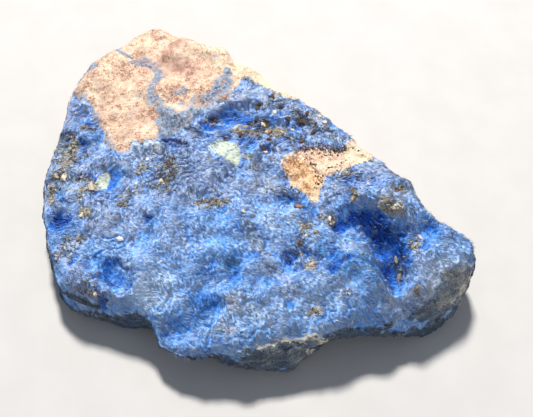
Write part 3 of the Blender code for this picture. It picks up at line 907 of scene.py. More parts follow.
@dataclass(frozen=True)
class CrustColours:
    """The crust's colours: each row runs from deep in the nap to its palest tips, and rows run by hue."""

    teal: Stops = shades(NAP, (2, 42, 84), (16, 92, 154), (92, 168, 212), (172, 216, 238), (232, 245, 250))
    azure: Stops = shades(NAP, (2, 40, 124), (22, 98, 202), (104, 170, 240), (170, 208, 252), (228, 240, 253))
    lilac: Stops = shades(NAP, (14, 36, 92), (58, 96, 162), (144, 174, 220), (208, 220, 244), (246, 246, 250))
    steel: Stops = shades(NAP, (16, 34, 66), (60, 90, 130), (136, 166, 200), (204, 218, 232), (244, 246, 246))
    olive: Stops = shades(NAP, (34, 36, 38), (92, 92, 82), (156, 154, 136), (212, 206, 184), (242, 236, 214))
    earth: Stops = shades(NAP, (34, 22, 20), (94, 62, 48), (172, 134, 102), (226, 200, 166), (250, 240, 220))
    hues: tuple[float, ...] = (0.0, 0.2, 0.4, 0.6, 0.8, 1.0)

    def mixed(self, graph: Graph, tone: Wire, hue: Wire) -> Wire:
        """Adds the colour for a tone and a hue.

        Args:
            graph: The tree it goes in.
            tone: 0 deep to 1 pale.
            hue: 0 teal, then azure, lilac, steel and olive, to 1 brown earth.

        Returns:
            The colour.
        """
        families = (self.teal, self.azure, self.lilac, self.steel, self.olive, self.earth)
        rows = [graph.ramp(tone, family) for family in families]
        colour = rows[0]
        for row, low, high in zip(rows[1:], self.hues, self.hues[1:]):
            colour = graph.blend(((hue - low) * (1 / (high - low))).clamped(), colour, row)
        return colour


@dataclass(frozen=True)
class NeedleFinish:
    """Silky mineral needles, coloured by the place of their own map in the crust's colours."""

    colours: CrustColours = CrustColours()
    roughness: float = 0.55
    shine: float = 0.3

    def material(self) -> bpy.types.Material:
        """Makes the needles' material.

        Returns:
            The material, which reads the tone and the hue from the map.
        """
        surface = Surface("crystal_needles")
        tone, hue = surface.map_place()
        colour = self.colours.mixed(surface, tone, hue)
        return surface.finish(colour, self.roughness, self.shine)


@dataclass(frozen=True)
class GrainFinish:
    """Earthy grains and flakes: dark iron, olive clay, ochre and pale quartz, by their own map."""

    dark: Stops = shades((0.0, 0.5, 1.0), (20, 18, 20), (92, 54, 42), (164, 104, 74))
    olive: Stops = shades((0.0, 0.5, 1.0), (58, 54, 44), (116, 110, 88), (176, 168, 140))
    ochre: Stops = shades((0.0, 0.5, 1.0), (110, 88, 68), (178, 152, 122), (224, 206, 176))
    quartz: Stops = shades((0.0, 0.5, 1.0), (182, 160, 140), (226, 210, 192), (248, 240, 228))
    roughness: float = 0.7
    shine: float = 0.3

    def material(self) -> bpy.types.Material:
        """Makes the grains' material.

        Returns:
            The material, which reads the shade and the kind of earth from the map.
        """
        surface = Surface("earthy_grains")
        shade, kind = surface.map_place()
        rows = [surface.ramp(shade, row) for row in (self.dark, self.olive, self.ochre, self.quartz)]
        colour = rows[0]
        for step, row in enumerate(rows[1:]):
            colour = surface.blend((kind * 3.0 - float(step)).clamped(), colour, row)
        return surface.finish(colour, self.roughness, self.shine)


@dataclass(frozen=True)
class StoneFinish:
    """The stone under the needles: stained crust, granular bare rock and broken sides. Sizes in mm."""

    colours: CrustColours = CrustColours()
    rock: Stops = shades(
        (0.0, 0.25, 0.5, 0.75, 1.0), (140, 104, 90), (190, 153, 131), (223, 188, 158), (244, 214, 182),
        (254, 234, 202),
    )
    cream: Stops = shades((0.0, 0.4, 1.0), (176, 148, 118), (228, 206, 174), (250, 232, 200))
    orange: Stops = shades((0.0, 0.45, 1.0), (120, 80, 54), (212, 164, 118), (248, 222, 180))
    clump: Stops = shades((0.0, 1.0), (88, 64, 60), (204, 170, 152))
    dust: Stops = shades((0.0, 0.5, 1.0), (54, 86, 124), (108, 142, 172), (178, 192, 198))
    green: Stops = shades((0.0, 0.4, 1.0), (122, 154, 140), (198, 206, 182), (236, 234, 212))
    side: Stops = shades((0.0, 0.4, 0.7, 1.0), (34, 40, 50), (78, 88, 100), (116, 124, 130), (180, 178, 166))
    chip: Stops = shades((0.0, 0.4, 1.0), (118, 108, 92), (206, 194, 172), (250, 240, 222))
    pepper: Colour = paint(74, 54, 44)
    pink: Colour = paint(220, 170, 150)
    fleck: Colour = paint(150, 110, 92)
    stain: Colour = paint(66, 98, 138)
    speck_size: float = 0.3
    mottle_size: float = 1.4
    blotch_size: float = 3.8
    fleck_size: float = 0.24
    grain_size: float = 0.34
    layer_size: float = 1.1
    stain_size: float = 3.2
    layer_stretch: tuple[float, float, float] = (0.5, 0.5, 1.1)
    bump: float = 0.12
    bump_strength: float = 0.5
    roughness: float = 0.82
    shine: float = 0.22

    def material(self) -> bpy.types.Material:
        """Makes the stone's material.

        Returns:
            The material, which reads the markings from the skin's attributes.
        """
        surface = Surface("crusted_stone")
        point = surface.place()
        speck = surface.noise(point, self.speck_size, 3.0, 0.7)
        mottle = surface.noise(point, self.mottle_size, 3.0, 0.62)
        crust = self._crust(surface, speck, mottle)
        rock = self._rock(surface, point, speck, mottle)
        side = self._side(surface, point, speck)
        bare = (surface.attribute("bare") + (speck - 0.5) * 0.8 + (mottle - 0.5) * 0.3).eased(0.35, 0.65)
        flank = (surface.attribute("side") + (speck - 0.5) * 0.6).eased(0.25, 0.75)
        colour = surface.blend(flank, surface.blend(bare, crust, rock), side)
        chip = (surface.attribute("chip") + (speck - 0.5) * 0.9).eased(0.35, 0.65)
        colour = surface.blend(chip, colour, surface.ramp(speck.eased(0.2, 0.8), self.chip))
        bump = surface.add("ShaderNodeBump", {}, {
            "Strength": self.bump_strength, "Distance": self.bump * MM, "Height": speck + mottle * 0.8,
        })
        return surface.finish(colour, self.roughness, self.shine, bump)

    def _crust(self, surface: Surface, speck: Wire, mottle: Wire) -> Wire:
        """Colours the ground that shows between the needles.

        Args:
            surface: The stone's tree.
            speck: Fine noise.
            mottle: Wider noise.

        Returns:
            The colour.
        """
        tone = surface.attribute("tone") + (speck - 0.5) * 0.8 + (mottle - 0.5) * 0.3 - 0.1
        hue = surface.attribute("hue") + (mottle - 0.5) * 0.2
        colour = self.colours.mixed(surface, tone.clamped(), hue.clamped())
        green = (surface.attribute("green") + (speck - 0.5) * 0.9).eased(0.3, 0.62)
        return surface.blend(green, colour, surface.ramp((speck * 1.6 - 0.3).clamped(), self.green))

    def _rock(self, surface: Surface, point: Wire, speck: Wire, mottle: Wire) -> Wire:
        """Colours the bare rock of the windows: pale grains, brown flecks, and blue dust here and there.

        Args:
            surface: The stone's tree.
            point: The point on the stone, in millimetres.
            speck: Fine noise.
            mottle: Wider noise.

        Returns:
            The colour.
        """
        blotch = surface.noise(point, self.blotch_size)
        shade = ((speck - 0.5) * 2.6 + (mottle - 0.5) * 1.9 + (blotch - 0.5) * 1.2 + 0.46).clamped()
        colour = surface.ramp(shade, self.rock)
        colour = surface.blend(surface.attribute("pink") * 0.45, colour, self.pink)
        colour = surface.blend(surface.attribute("cream"), colour, surface.ramp(shade, self.cream))
        orange = (surface.attribute("orange") + (mottle - 0.5) * 0.9).eased(0.25, 0.75)
        colour = surface.blend(orange, colour, surface.ramp(shade, self.orange))
        fleck = surface.noise(point, self.fleck_size, 2.0, 0.6)
        colour = surface.blend(fleck.eased(0.56, 0.7) * 0.5, colour, self.fleck)
        clump = (surface.attribute("clump") + (speck - 0.5) * 3.2 + (mottle - 0.5) * 2.2).eased(0.4, 1.1)
        colour = surface.blend(clump * 0.65, colour, surface.ramp(shade, self.clump))
        grainy = surface.noise(point, self.grain_size, 3.0, 0.7)
        pepper = (surface.attribute("pepper") * 0.9 + (grainy - 0.5) * 3.4).eased(0.62, 0.95)
        colour = surface.blend(pepper * surface.attribute("pepper").eased(0.05, 0.4), colour, self.pepper)
        dust = (surface.attribute("dust") + (speck - 0.5) * 1.8 + (mottle - 0.5) * 2.8).eased(0.25, 0.95)
        return surface.blend(dust * 0.85, colour, surface.ramp(speck.eased(0.25, 0.75), self.dust))

    def _side(self, surface: Surface, point: Wire, speck: Wire) -> Wire:
        """Colours the broken sides and the underside, layered and stained blue in places.

        Args:
            surface: The stone's tree.
            point: The point on the stone, in millimetres.
            speck: Fine noise.

        Returns:
            The colour.
        """
        bands = surface.vector("MULTIPLY", point, self.layer_stretch)
        layer = surface.noise(bands, self.layer_size, 4.0, 0.62)
        stain = surface.noise(point, self.stain_size)
        # Painted light: the slate attribute lightens the broken faces of the lobe and the front.
        shade = (layer * 1.3 - 0.3 + (speck - 0.5) * 1.7 + surface.attribute("slate") * 0.3).clamped()
        colour = surface.ramp(shade, self.side)
        # The sides are pale rock towards the back and dark grey-blue towards the front; the darker front is
        # painted shade.
        colour = surface.blend(surface.attribute("pale_rock"), colour, surface.ramp(shade, self.rock))
        return surface.blend(stain.eased(0.45, 0.7) * 0.45, colour, self.stain)


@dataclass(frozen=True)
class FloorFinish:
    """A plain pale, faintly mottled table. Sizes in mm."""

    light: Colour = paint(212, 207, 200)
    dim: Colour = paint(208, 203, 196)
    roughness: float = 0.75
    shine: float = 0.2
    grain: float = 9.0

    def material(self) -> bpy.types.Material:
        """Makes the table's material.

        Returns:
            The material.
        """
        surface = Surface("pale_table")
        mottle = surface.noise(surface.place(), self.grain, 3.0)
        colour = surface.blend(mottle.eased(0.3, 0.7), self.dim, self.light)
        return surface.finish(colour, self.roughness, self.shine)


# ------------------------ the skin


# The markings that the stone's finish reads as they are.
READ_MARKS = (
    Mark.BARE, Mark.GREEN, Mark.PEPPER, Mark.PINK, Mark.CREAM, Mark.ORANGE, Mark.CLUMP, Mark.DUST, Mark.CHIP,
)

# The skin's map in metres: its width, the middles of the top, the underside and the side strips on it,
# the step between those strips, and how far up or down a face looks to count as top or underside.
PAGE = 0.165
PAGE_TOP = (0.041, 0.038)
PAGE_UNDER = (0.123, 0.038)
PAGE_SIDE = (0.082, 0.08)
PAGE_STEP = 0.022
PAGE_STEEP = 0.35


@dataclass(frozen=True)
class Amounts:
    """How far each kind of unevenness moves the stone's face, in millimetres."""

    lump: float = 0.08
    nodule: float = 0.06
    knot: float = 0.045
    strand: float = 0.06
    fold: float = 0.07
    fuzz: float = 0.035
    deep: float = 0.22
    dark: float = 0.4
    crack: float = 0.3
    olive_grain: float = 0.34
    olive_fuzz: float = 0.12
    rock_grain: float = 0.26
    rock_fuzz: float = 0.1
    rock_nodule: float = 0.1
    rock_clump: float = 0.15
    side_layer: float = 0.36
    side_rubble: float = 0.24
    side_fuzz: float = 0.1


@dataclass
class StoneSkin:
    """The stone's whole outside as one closed mesh: crust, bare windows and broken sides. Sizes in mm."""

    cuts: int = 4
    rounds: int = 9
    nap: float = 0.28
    weld: float = 0.001
    sectors: int = 240
    markings: Markings = Markings()
    finish: StoneFinish = StoneFinish()
    amounts: Amounts = Amounts()
    lumps: Lattice = Lattice(3.4, 21)
    nodules: Lattice = Lattice(1.45, 22)
    knots: Lattice = Lattice(0.8, 23)
    fuzz: Lattice = Lattice(0.48, 24)
    drift: Lattice = Lattice(6.5, 25)
    swirl: Lattice = Lattice(3.4, 26)
    curl: Lattice = Lattice(1.2, 27)
    layers: Lattice = Lattice(1.7, 28)
    rubble: Lattice = Lattice(0.85, 29)
    clefts: Lattice = Lattice(2.7, 30)
    clay: Lattice = Lattice(0.95, 31)
    sand: Lattice = Lattice(0.95, 32)
    cloud: Lattice = Lattice(3.1, 33)
    strand: Lattice = Lattice(1.15, 34)
    fold: Lattice = Lattice(2.3, 35)
    grain: float = -38.0
    passes: int = 4
    ease: float = 0.75
    side_stretch: tuple[float, float, float] = (0.7, 0.7, 1.5)
    shaded_hue: float = 0.56
    pale_hue: float = 0.2
    rock_hue: float = 0.48
    olive_hue: float = 0.77
    earth_hue: float = 0.97
    silky: tuple[Patch, ...] = (
        Patch(-2.0, -20.0, 22.0, 11.0), Patch(22.0, -22.0, 13.0, 8.0), Patch(-14.0, -13.0, 10.0, 10.0, 0.7),
    )

    def build(self, node: bpy.types.Object) -> bpy.types.Object:
        """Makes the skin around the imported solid.

        Args:
            node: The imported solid, which is copied and left as it is.

        Returns:
            The skin, dressed.
        """
        mesh = self._divided(node.data)
        points = self._read(mesh) / MM
        floor = points[:, 2] < self.weld
        low, high = points.min(axis=0), points.max(axis=0)
        for step in (self._smoothed, self._eased):
            points = step(mesh, points)
            points[floor, 2] = 0
            self._write(mesh, points)
        covers = self.markings.covers(points)
        normals = self._normals(mesh)
        facing = self._facing(mesh, normals)
        side = self._side(points, facing, covers)
        relief, tone = self._relief(points, side, covers)
        points = points + normals * relief[:, None]
        points[floor, 2] = 0
        self._write(mesh, np.clip(points, low, high))
        self._paint_attributes(mesh, points, side, tone, facing, covers)
        self._unwrap(mesh)
        mesh.shade_smooth()
        mesh.materials.clear()
        mesh.materials.append(self.finish.material())
        return placed("stone_skin", mesh)

    def _divided(self, source: bpy.types.Mesh) -> bpy.types.Mesh:
        """Welds a copy of the solid's triangles and cuts each into a fine grid.

        Args:
            source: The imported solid's mesh.

        Returns:
            The fine mesh, all triangles.
        """
        shell = bmesh.new()
        shell.from_mesh(source)
        bmesh.ops.remove_doubles(shell, verts=shell.verts[:], dist=self.weld * MM)
        bmesh.ops.subdivide_edges(shell, edges=shell.edges[:], cuts=self.cuts, use_grid_fill=True)
        bmesh.ops.triangulate(shell, faces=shell.faces[:])
        mesh = bpy.data.meshes.new("stone_skin")
        shell.to_mesh(mesh)
        shell.free()
        return mesh

    @staticmethod
    def _read(mesh: bpy.types.Mesh) -> Array:
        """Gives the mesh's points in metres, one row each."""
        return gathered(mesh.vertices, "co", 3).astype(float)

    @staticmethod
    def _write(mesh: bpy.types.Mesh, points: Array) -> None:
        """Moves the mesh's points to these places in millimetres."""
        mesh.vertices.foreach_set("co", (points * MM).astype(np.float32).ravel())
        mesh.update()

    @staticmethod
    def _normals(mesh: bpy.types.Mesh) -> Array:
        """Gives the direction out of the stone at each point, one row each."""
        return gathered(mesh.vertex_normals, "vector", 3).astype(float)

    def _smoothed(self, mesh: bpy.types.Mesh, values: Array) -> Array:
        """Rounds facets: each point moves halfway to the middle of its neighbours, many times.

        Args:
            mesh: The mesh, whose edges say which points are neighbours.
            values: Three values for each point.

        Returns:
            The smoothed values.
        """
        a, b = gathered(mesh.edges, "vertices", 2, np.int32).T
        size = len(values)
        count = np.bincount(a, minlength=size) + np.bincount(b, minlength=size)
        for _ in range(self.rounds):
            near = [
                np.bincount(a, values[b, axis], size) + np.bincount(b, values[a, axis], size)
                for axis in range(3)
            ]
            values = (values + np.stack(near, axis=1) / count[:, None]) / 2
        return values

    def _eased(self, mesh: bpy.types.Mesh, points: Array) -> Array:
        """Irons the level parts of the top, and leaves steps, lips and hollows as they are.

        Args:
            mesh: The mesh.
            points: Its points in millimetres.

        Returns:
            The points, moved towards their mean where the stone is level.
        """
        level = soften(0.8, 0.97, self._facing(mesh, self._normals(mesh)))[:, None]
        calm = points
        for _ in range(self.passes):
            calm = self._smoothed(mesh, calm)
        return points + self.ease * level * (calm - points)

    def _facing(self, mesh: bpy.types.Mesh, normals: Array) -> Array:
        """Tells how far the stone faces up around each point, 1 straight up, with small bumps ironed out."""
        calm = self._smoothed(mesh, self._smoothed(mesh, normals))
        return calm[:, 2] / np.linalg.norm(calm, axis=1)

    def _side(self, points: Array, facing: Array, covers: Covers) -> Array:
        """Tells the broken sides and the underside from the crusted top.

        Args:
            points: Places on the stone, millimetres.
            facing: How far it faces up there.
            covers: The markings.

        Returns:
            1 on the sides and underneath, 0 on top.
        """
        turn = np.arctan2(points[:, 1], points[:, 0])
        sector = ((turn / (2 * math.pi) + 0.5) * self.sectors).astype(int) % self.sectors
        reach = np.zeros(self.sectors)
        radius = np.hypot(points[:, 0], points[:, 1])
        np.maximum.at(reach, sector, radius)
        inward = reach[sector] - radius
        uneven = facing + 0.1 * self.nodules.at(points) + 0.08 * self.knots.at(points)
        steep = soften(0.42, 0.12, uneven) * soften(4.0, 2.4, inward)
        return np.maximum(np.maximum(steep, covers[Mark.SLATE]), soften(0.02, -0.12, facing))

    def _relief(self, points: Array, side: Array, covers: Covers) -> tuple[Array, Array]:
        """Works out the fine relief and the tone that goes with it, painted light on its swells and painted
        shade in its cracks.

        Args:
            points: Places on the smooth stone, millimetres.
            side: Where the stone is broken rather than crusted.
            covers: The markings.

        Returns:
            How far each point moves out, in millimetres, and how pale the crust is there, 0 to 1.
        """
        by = self.amounts
        bare = covers[Mark.BARE] * (1 - side)
        crust = (1 - bare) * (1 - side)
        noises = (self.lumps, self.nodules, self.knots, self.fuzz)
        lumps, nodules, knots, fuzz = (noise.at(points) for noise in noises)
        crack = self._cracks(points, nodules)
        calm = self._calm(points)
        strand, fold = self._strands(points, self.strand), self._strands(points, self.fold)
        swell = (1 - 0.4 * calm) * (by.lump * lumps + by.nodule * nodules) + by.knot * knots
        swell = swell + by.strand * strand + by.fold * fold
        hollow = by.deep * covers[Mark.DEEP] + by.dark * covers[Mark.DARK]
        hollow = hollow + by.crack * crack * (1 - 0.7 * calm)
        rough = by.olive_grain * (0.5 - grains_at(points, self.clay)) + by.olive_fuzz * fuzz
        raised = np.minimum(swell + by.fuzz * fuzz, 0.5) - hollow + covers[Mark.OLIVE] * rough - self.nap
        granular = by.rock_grain * (0.5 - grains_at(points, self.sand)) + by.rock_fuzz * fuzz
        granular = granular + by.rock_nodule * nodules - by.rock_clump * covers[Mark.CLUMP]
        layers = self.layers.at(points * np.array(self.side_stretch) + 0.6 * lumps[:, None])
        broken = by.side_layer * (0.4 - np.abs(layers)) + by.side_rubble * self.rubble.at(points)
        broken = broken + by.side_fuzz * fuzz
        patchy = 1 + 0.4 * knots + 0.3 * fuzz
        # Painted light and shade: the crust is paler where the relief swells and darker in its cracks; drift
        # and cloud vary it at random.
        tone = 0.66 + 0.28 * swell + 0.2 * fuzz + 0.1 * knots + 0.04 * self.drift.at(points) - 0.2 * crack
        # Painted light: the front is paled a little, as the key light from behind leaves its slopes dim.
        tone = tone + 0.08 * strand + 0.04 * self.cloud.at(points + 17.0) + 0.04 * self._front(points)
        # PALE adds painted light; DEEP and DARK darken their own real colour further as painted shade in
        # pits, hollows and under ledges; RUST is a real stain.
        tone = tone + 0.3 * covers[Mark.PALE] - 0.25 * patchy * covers[Mark.DEEP]
        tone = tone - 0.5 * patchy * covers[Mark.DARK] - 0.34 * covers[Mark.RUST] * (0.75 + 0.5 * knots)
        for mark, change in TONES.items():
            tone = tone + change * covers[mark]
        return crust * raised + bare * granular + side * broken, np.clip(tone, 0.02, 0.98)

    @staticmethod
    def _front(points: Array) -> Array:
        """Tells the front of the stone, 1, from its middle and back, 0."""
        return soften(2.0, -16.0, points[:, 1])

    def _calm(self, points: Array) -> Array:
        """Tells the smooth, silky parts of the crust, 1, from the lumpy ones, 0."""
        return np.max([patch.cover(points[:, :2]) for patch in self.silky], axis=0)

    def _wildness(self, points: Array, covers: Covers) -> Array:
        """Tells how much the needles differ in tone from their neighbours, about 1."""
        plain = 0.3 * self._calm(points) + 0.2 * np.maximum(covers[Mark.DEEP], covers[Mark.ROYAL])
        return 1 - plain + 0.6 * covers[Mark.OLIVE] + 0.3 * covers[Mark.TAN]

    def _strands(self, points: Array, lattice: Lattice) -> Array:
        """Draws long low ridges that run the way the needles of the smooth parts lie.

        Args:
            points: Places on the stone, millimetres.
            lattice: Draws the ridges.

        Returns:
            A value of about -1 to 1 for each place.
        """
        angle = math.radians(self.grain)
        along = points[:, 0] * math.cos(angle) + points[:, 1] * math.sin(angle)
        across = points[:, 1] * math.cos(angle) - points[:, 0] * math.sin(angle)
        return lattice.at(np.stack((along * 0.3, across, points[:, 2] * 0.5), axis=1))

    def _cracks(self, points: Array, nodules: Array) -> Array:
        """Finds the narrow clefts between the crust's ledges.

        Args:
            points: Places on the stone, millimetres.
            nodules: The nodules' noise there, which bends the clefts.

        Returns:
            1 in the middle of a cleft, 0 away from it.
        """
        warped = points + 0.5 * nodules[:, None]
        narrow = soften(0.13, 0.0, np.abs(self.clefts.at(warped)))
        return narrow * soften(-0.1, 0.35, self.lumps.at(points * 0.7 + 40.0))

    def _hue(self, points: Array, covers: Covers, facing: Array) -> Array:
        """Works out the crust's hue.

        Args:
            points: Places on the stone, millimetres.
            covers: The markings.
            facing: How far it faces up there.

        Returns:
            0 teal, then azure, lilac, steel and olive, to 1 brown earth.
        """
        front = self._front(points)
        hue = 0.35 - 0.11 * front + 0.08 * self.drift.at(points) + 0.05 * self.cloud.at(points)
        hue = toward(hue, self.shaded_hue, (0.5 - 0.45 * front) * soften(0.75, 0.35, facing))
        for mark, goal in HUES.items():
            hue = toward(hue, goal, covers[mark])
        hue = toward(hue, self.pale_hue, 0.6 * covers[Mark.PALE] * front)
        hue = toward(hue, self.rock_hue, soften(0.6, 0.95, covers[Mark.BARE]))
        uneven = self.knots.at(points) + 0.6 * self.fuzz.at(points)
        hue = toward(hue, self.olive_hue, 0.85 * covers[Mark.OLIVE] * soften(-0.3, 0.2, uneven))
        earthy = np.maximum(covers[Mark.RUST], covers[Mark.TAN]) * soften(-0.5, -0.05, uneven)
        return np.clip(toward(hue, self.earth_hue, 0.95 * earthy), 0.02, 0.98)

    def _paint_attributes(
        self, mesh: bpy.types.Mesh, points: Array, side: Array, tone: Array, facing: Array, covers: Covers
    ) -> None:
        """Writes what the stone's finish, the needles and the grains read from the skin.

        Args:
            mesh: The skin's mesh.
            points: Its points in millimetres.
            side: Where the stone is broken rather than crusted.
            tone: How pale the crust is.
            facing: How far the stone faces up.
            covers: The markings.
        """
        knots = self.knots.at(points)
        back = soften(-6.0, 8.0, points[:, 1] + 0.35 * points[:, 0])
        floats = {
            "side": side,
            "tone": tone,
            "hue": self._hue(points, covers, facing),
            "fur": self._fur(side, knots, covers),
            "grit": self._grit(side, knots + 0.5 * self.fuzz.at(points), covers),
            "soil": self._soil(points, covers),
            # Pale rock on the sides towards the back; the darker sides at the front are painted shade.
            "pale_rock": back * soften(0.2, 0.6, self.drift.at(points) * 0.5 + 0.5),
            # Painted light on the lobe's and the front's broken faces, which the key light from behind leaves
            # in shade; more where PALE lies.
            "slate": covers[Mark.SLATE] * (0.6 + 1.2 * covers[Mark.PALE]),
            "wild": self._wildness(points, covers),
            "stand": soften(0.3, 0.8, facing),
        }
        for mark in READ_MARKS:
            floats[mark.value] = covers[mark]
        for name, values in floats.items():
            mesh.attributes.new(name, "FLOAT", "POINT").data.foreach_set("value", values.astype(np.float32))
        spin = 1 - 0.6 * self._calm(points)
        angle = np.radians(self.grain + spin * (100 * self.swirl.at(points) + 60 * self.curl.at(points)))
        comb = np.stack((np.cos(angle), np.sin(angle), np.zeros(len(points))), axis=1).astype(np.float32)
        mesh.attributes.new("comb", "FLOAT_VECTOR", "POINT").data.foreach_set("vector", comb.ravel())

    @staticmethod
    def _fur(side: Array, knots: Array, covers: Covers) -> Array:
        """Tells how thickly the needles grow.

        Args:
            side: Where the stone is broken rather than crusted.
            knots: The knots' noise, which tears the dust.
            covers: The markings.

        Returns:
            1 on the full crust, 0 where nothing grows.
        """
        bare, green = covers[Mark.BARE], covers[Mark.GREEN]
        clean = (1 - soften(0.25, 0.75, bare)) * (1 - soften(0.3, 0.8, side))
        thin = soften(0.5, 0.95, covers[Mark.DUST] + 0.3 * knots) * bare * 0.4
        full = clean * (1 - 0.85 * soften(0.3, 0.8, green)) * (1 - 0.2 * covers[Mark.OLIVE])
        return (full + thin) * (1 - side) * (1 - covers[Mark.CHIP])

    def _grit(self, side: Array, uneven: Array, covers: Covers) -> Array:
        """Tells how thickly the grains lie.

        Args:
            side: Where the stone is broken rather than crusted.
            uneven: Fine noise, which breaks up the stains.
            covers: The markings.

        Returns:
            0 where there are none, to about 1.
        """
        stained = 0.6 * covers[Mark.OLIVE] * soften(-0.3, 0.5, uneven)
        grit = stained + 0.004 + 0.25 * covers[Mark.RUST] + 0.2 * covers[Mark.TAN] + 0.1 * covers[Mark.DARK]
        grit = grit * (1 - 0.8 * covers[Mark.DEEP]) * (1 - 0.93 * covers[Mark.BARE])
        grit = grit + 0.15 * self._rim(covers) * (1 - covers[Mark.DUST])
        return (grit + 0.4 * covers[Mark.PEPPER]) * (1 - side)

    @staticmethod
    def _rim(covers: Covers) -> Array:
        """Tells the rims of the bare windows, 1, from all else, 0."""
        return soften(0.1, 0.5, covers[Mark.BARE]) * soften(0.9, 0.5, covers[Mark.BARE])

    def _soil(self, points: Array, covers: Covers) -> Array:
        """Tells what the grains are made of.

        Args:
            points: Places on the stone, millimetres.
            covers: The markings.

        Returns:
            0 dark iron to 1 pale quartz.
        """
        knots = self.knots.at(points + 9.0)
        soil = 0.3 + 0.55 * soften(-0.5, 0.5, knots) + 0.3 * covers[Mark.TAN] + 0.3 * self._rim(covers)
        soil = soil - 0.5 * covers[Mark.RUST] - 0.6 * covers[Mark.DARK] - covers[Mark.PEPPER]
        return np.clip(soil, 0, 1)

    def _unwrap(self, mesh: bpy.types.Mesh) -> None:
        """Lays the top, the underside and three lengths of the side flat beside each other on one map.

        Args:
            mesh: The skin's mesh.
        """
        points = self._read(mesh)
        up = np.repeat(gathered(mesh.polygons, "normal", 3)[:, 2], 3)[:, None]
        place = points[gathered(mesh.loops, "vertex_index", kind=np.int32)]
        middle = place.reshape(-1, 3, 3).mean(axis=1).repeat(3, axis=0)
        turn = np.arctan2(middle[:, 1], middle[:, 0])
        third = np.clip(((turn / (2 * math.pi) + 0.5) * 3).astype(int), 0, 2)
        angle = (third + 0.5) / 3 * 2 * math.pi - math.pi
        run = place[:, 1] * np.cos(angle) - place[:, 0] * np.sin(angle)
        top = place[:, :2] + PAGE_TOP
        under = place[:, :2] + PAGE_UNDER
        side = np.stack((run + PAGE_SIDE[0], place[:, 2] + PAGE_SIDE[1] + PAGE_STEP * third), axis=1)
        spread = np.where(up > PAGE_STEEP, top, np.where(up < -PAGE_STEEP, under, side)) / PAGE
        layer = mesh.uv_layers.new(name=UV_NAME)
        layer.data.foreach_set("uv", spread.astype(np.float32).ravel())


# ------------------------ what grows and lies on it


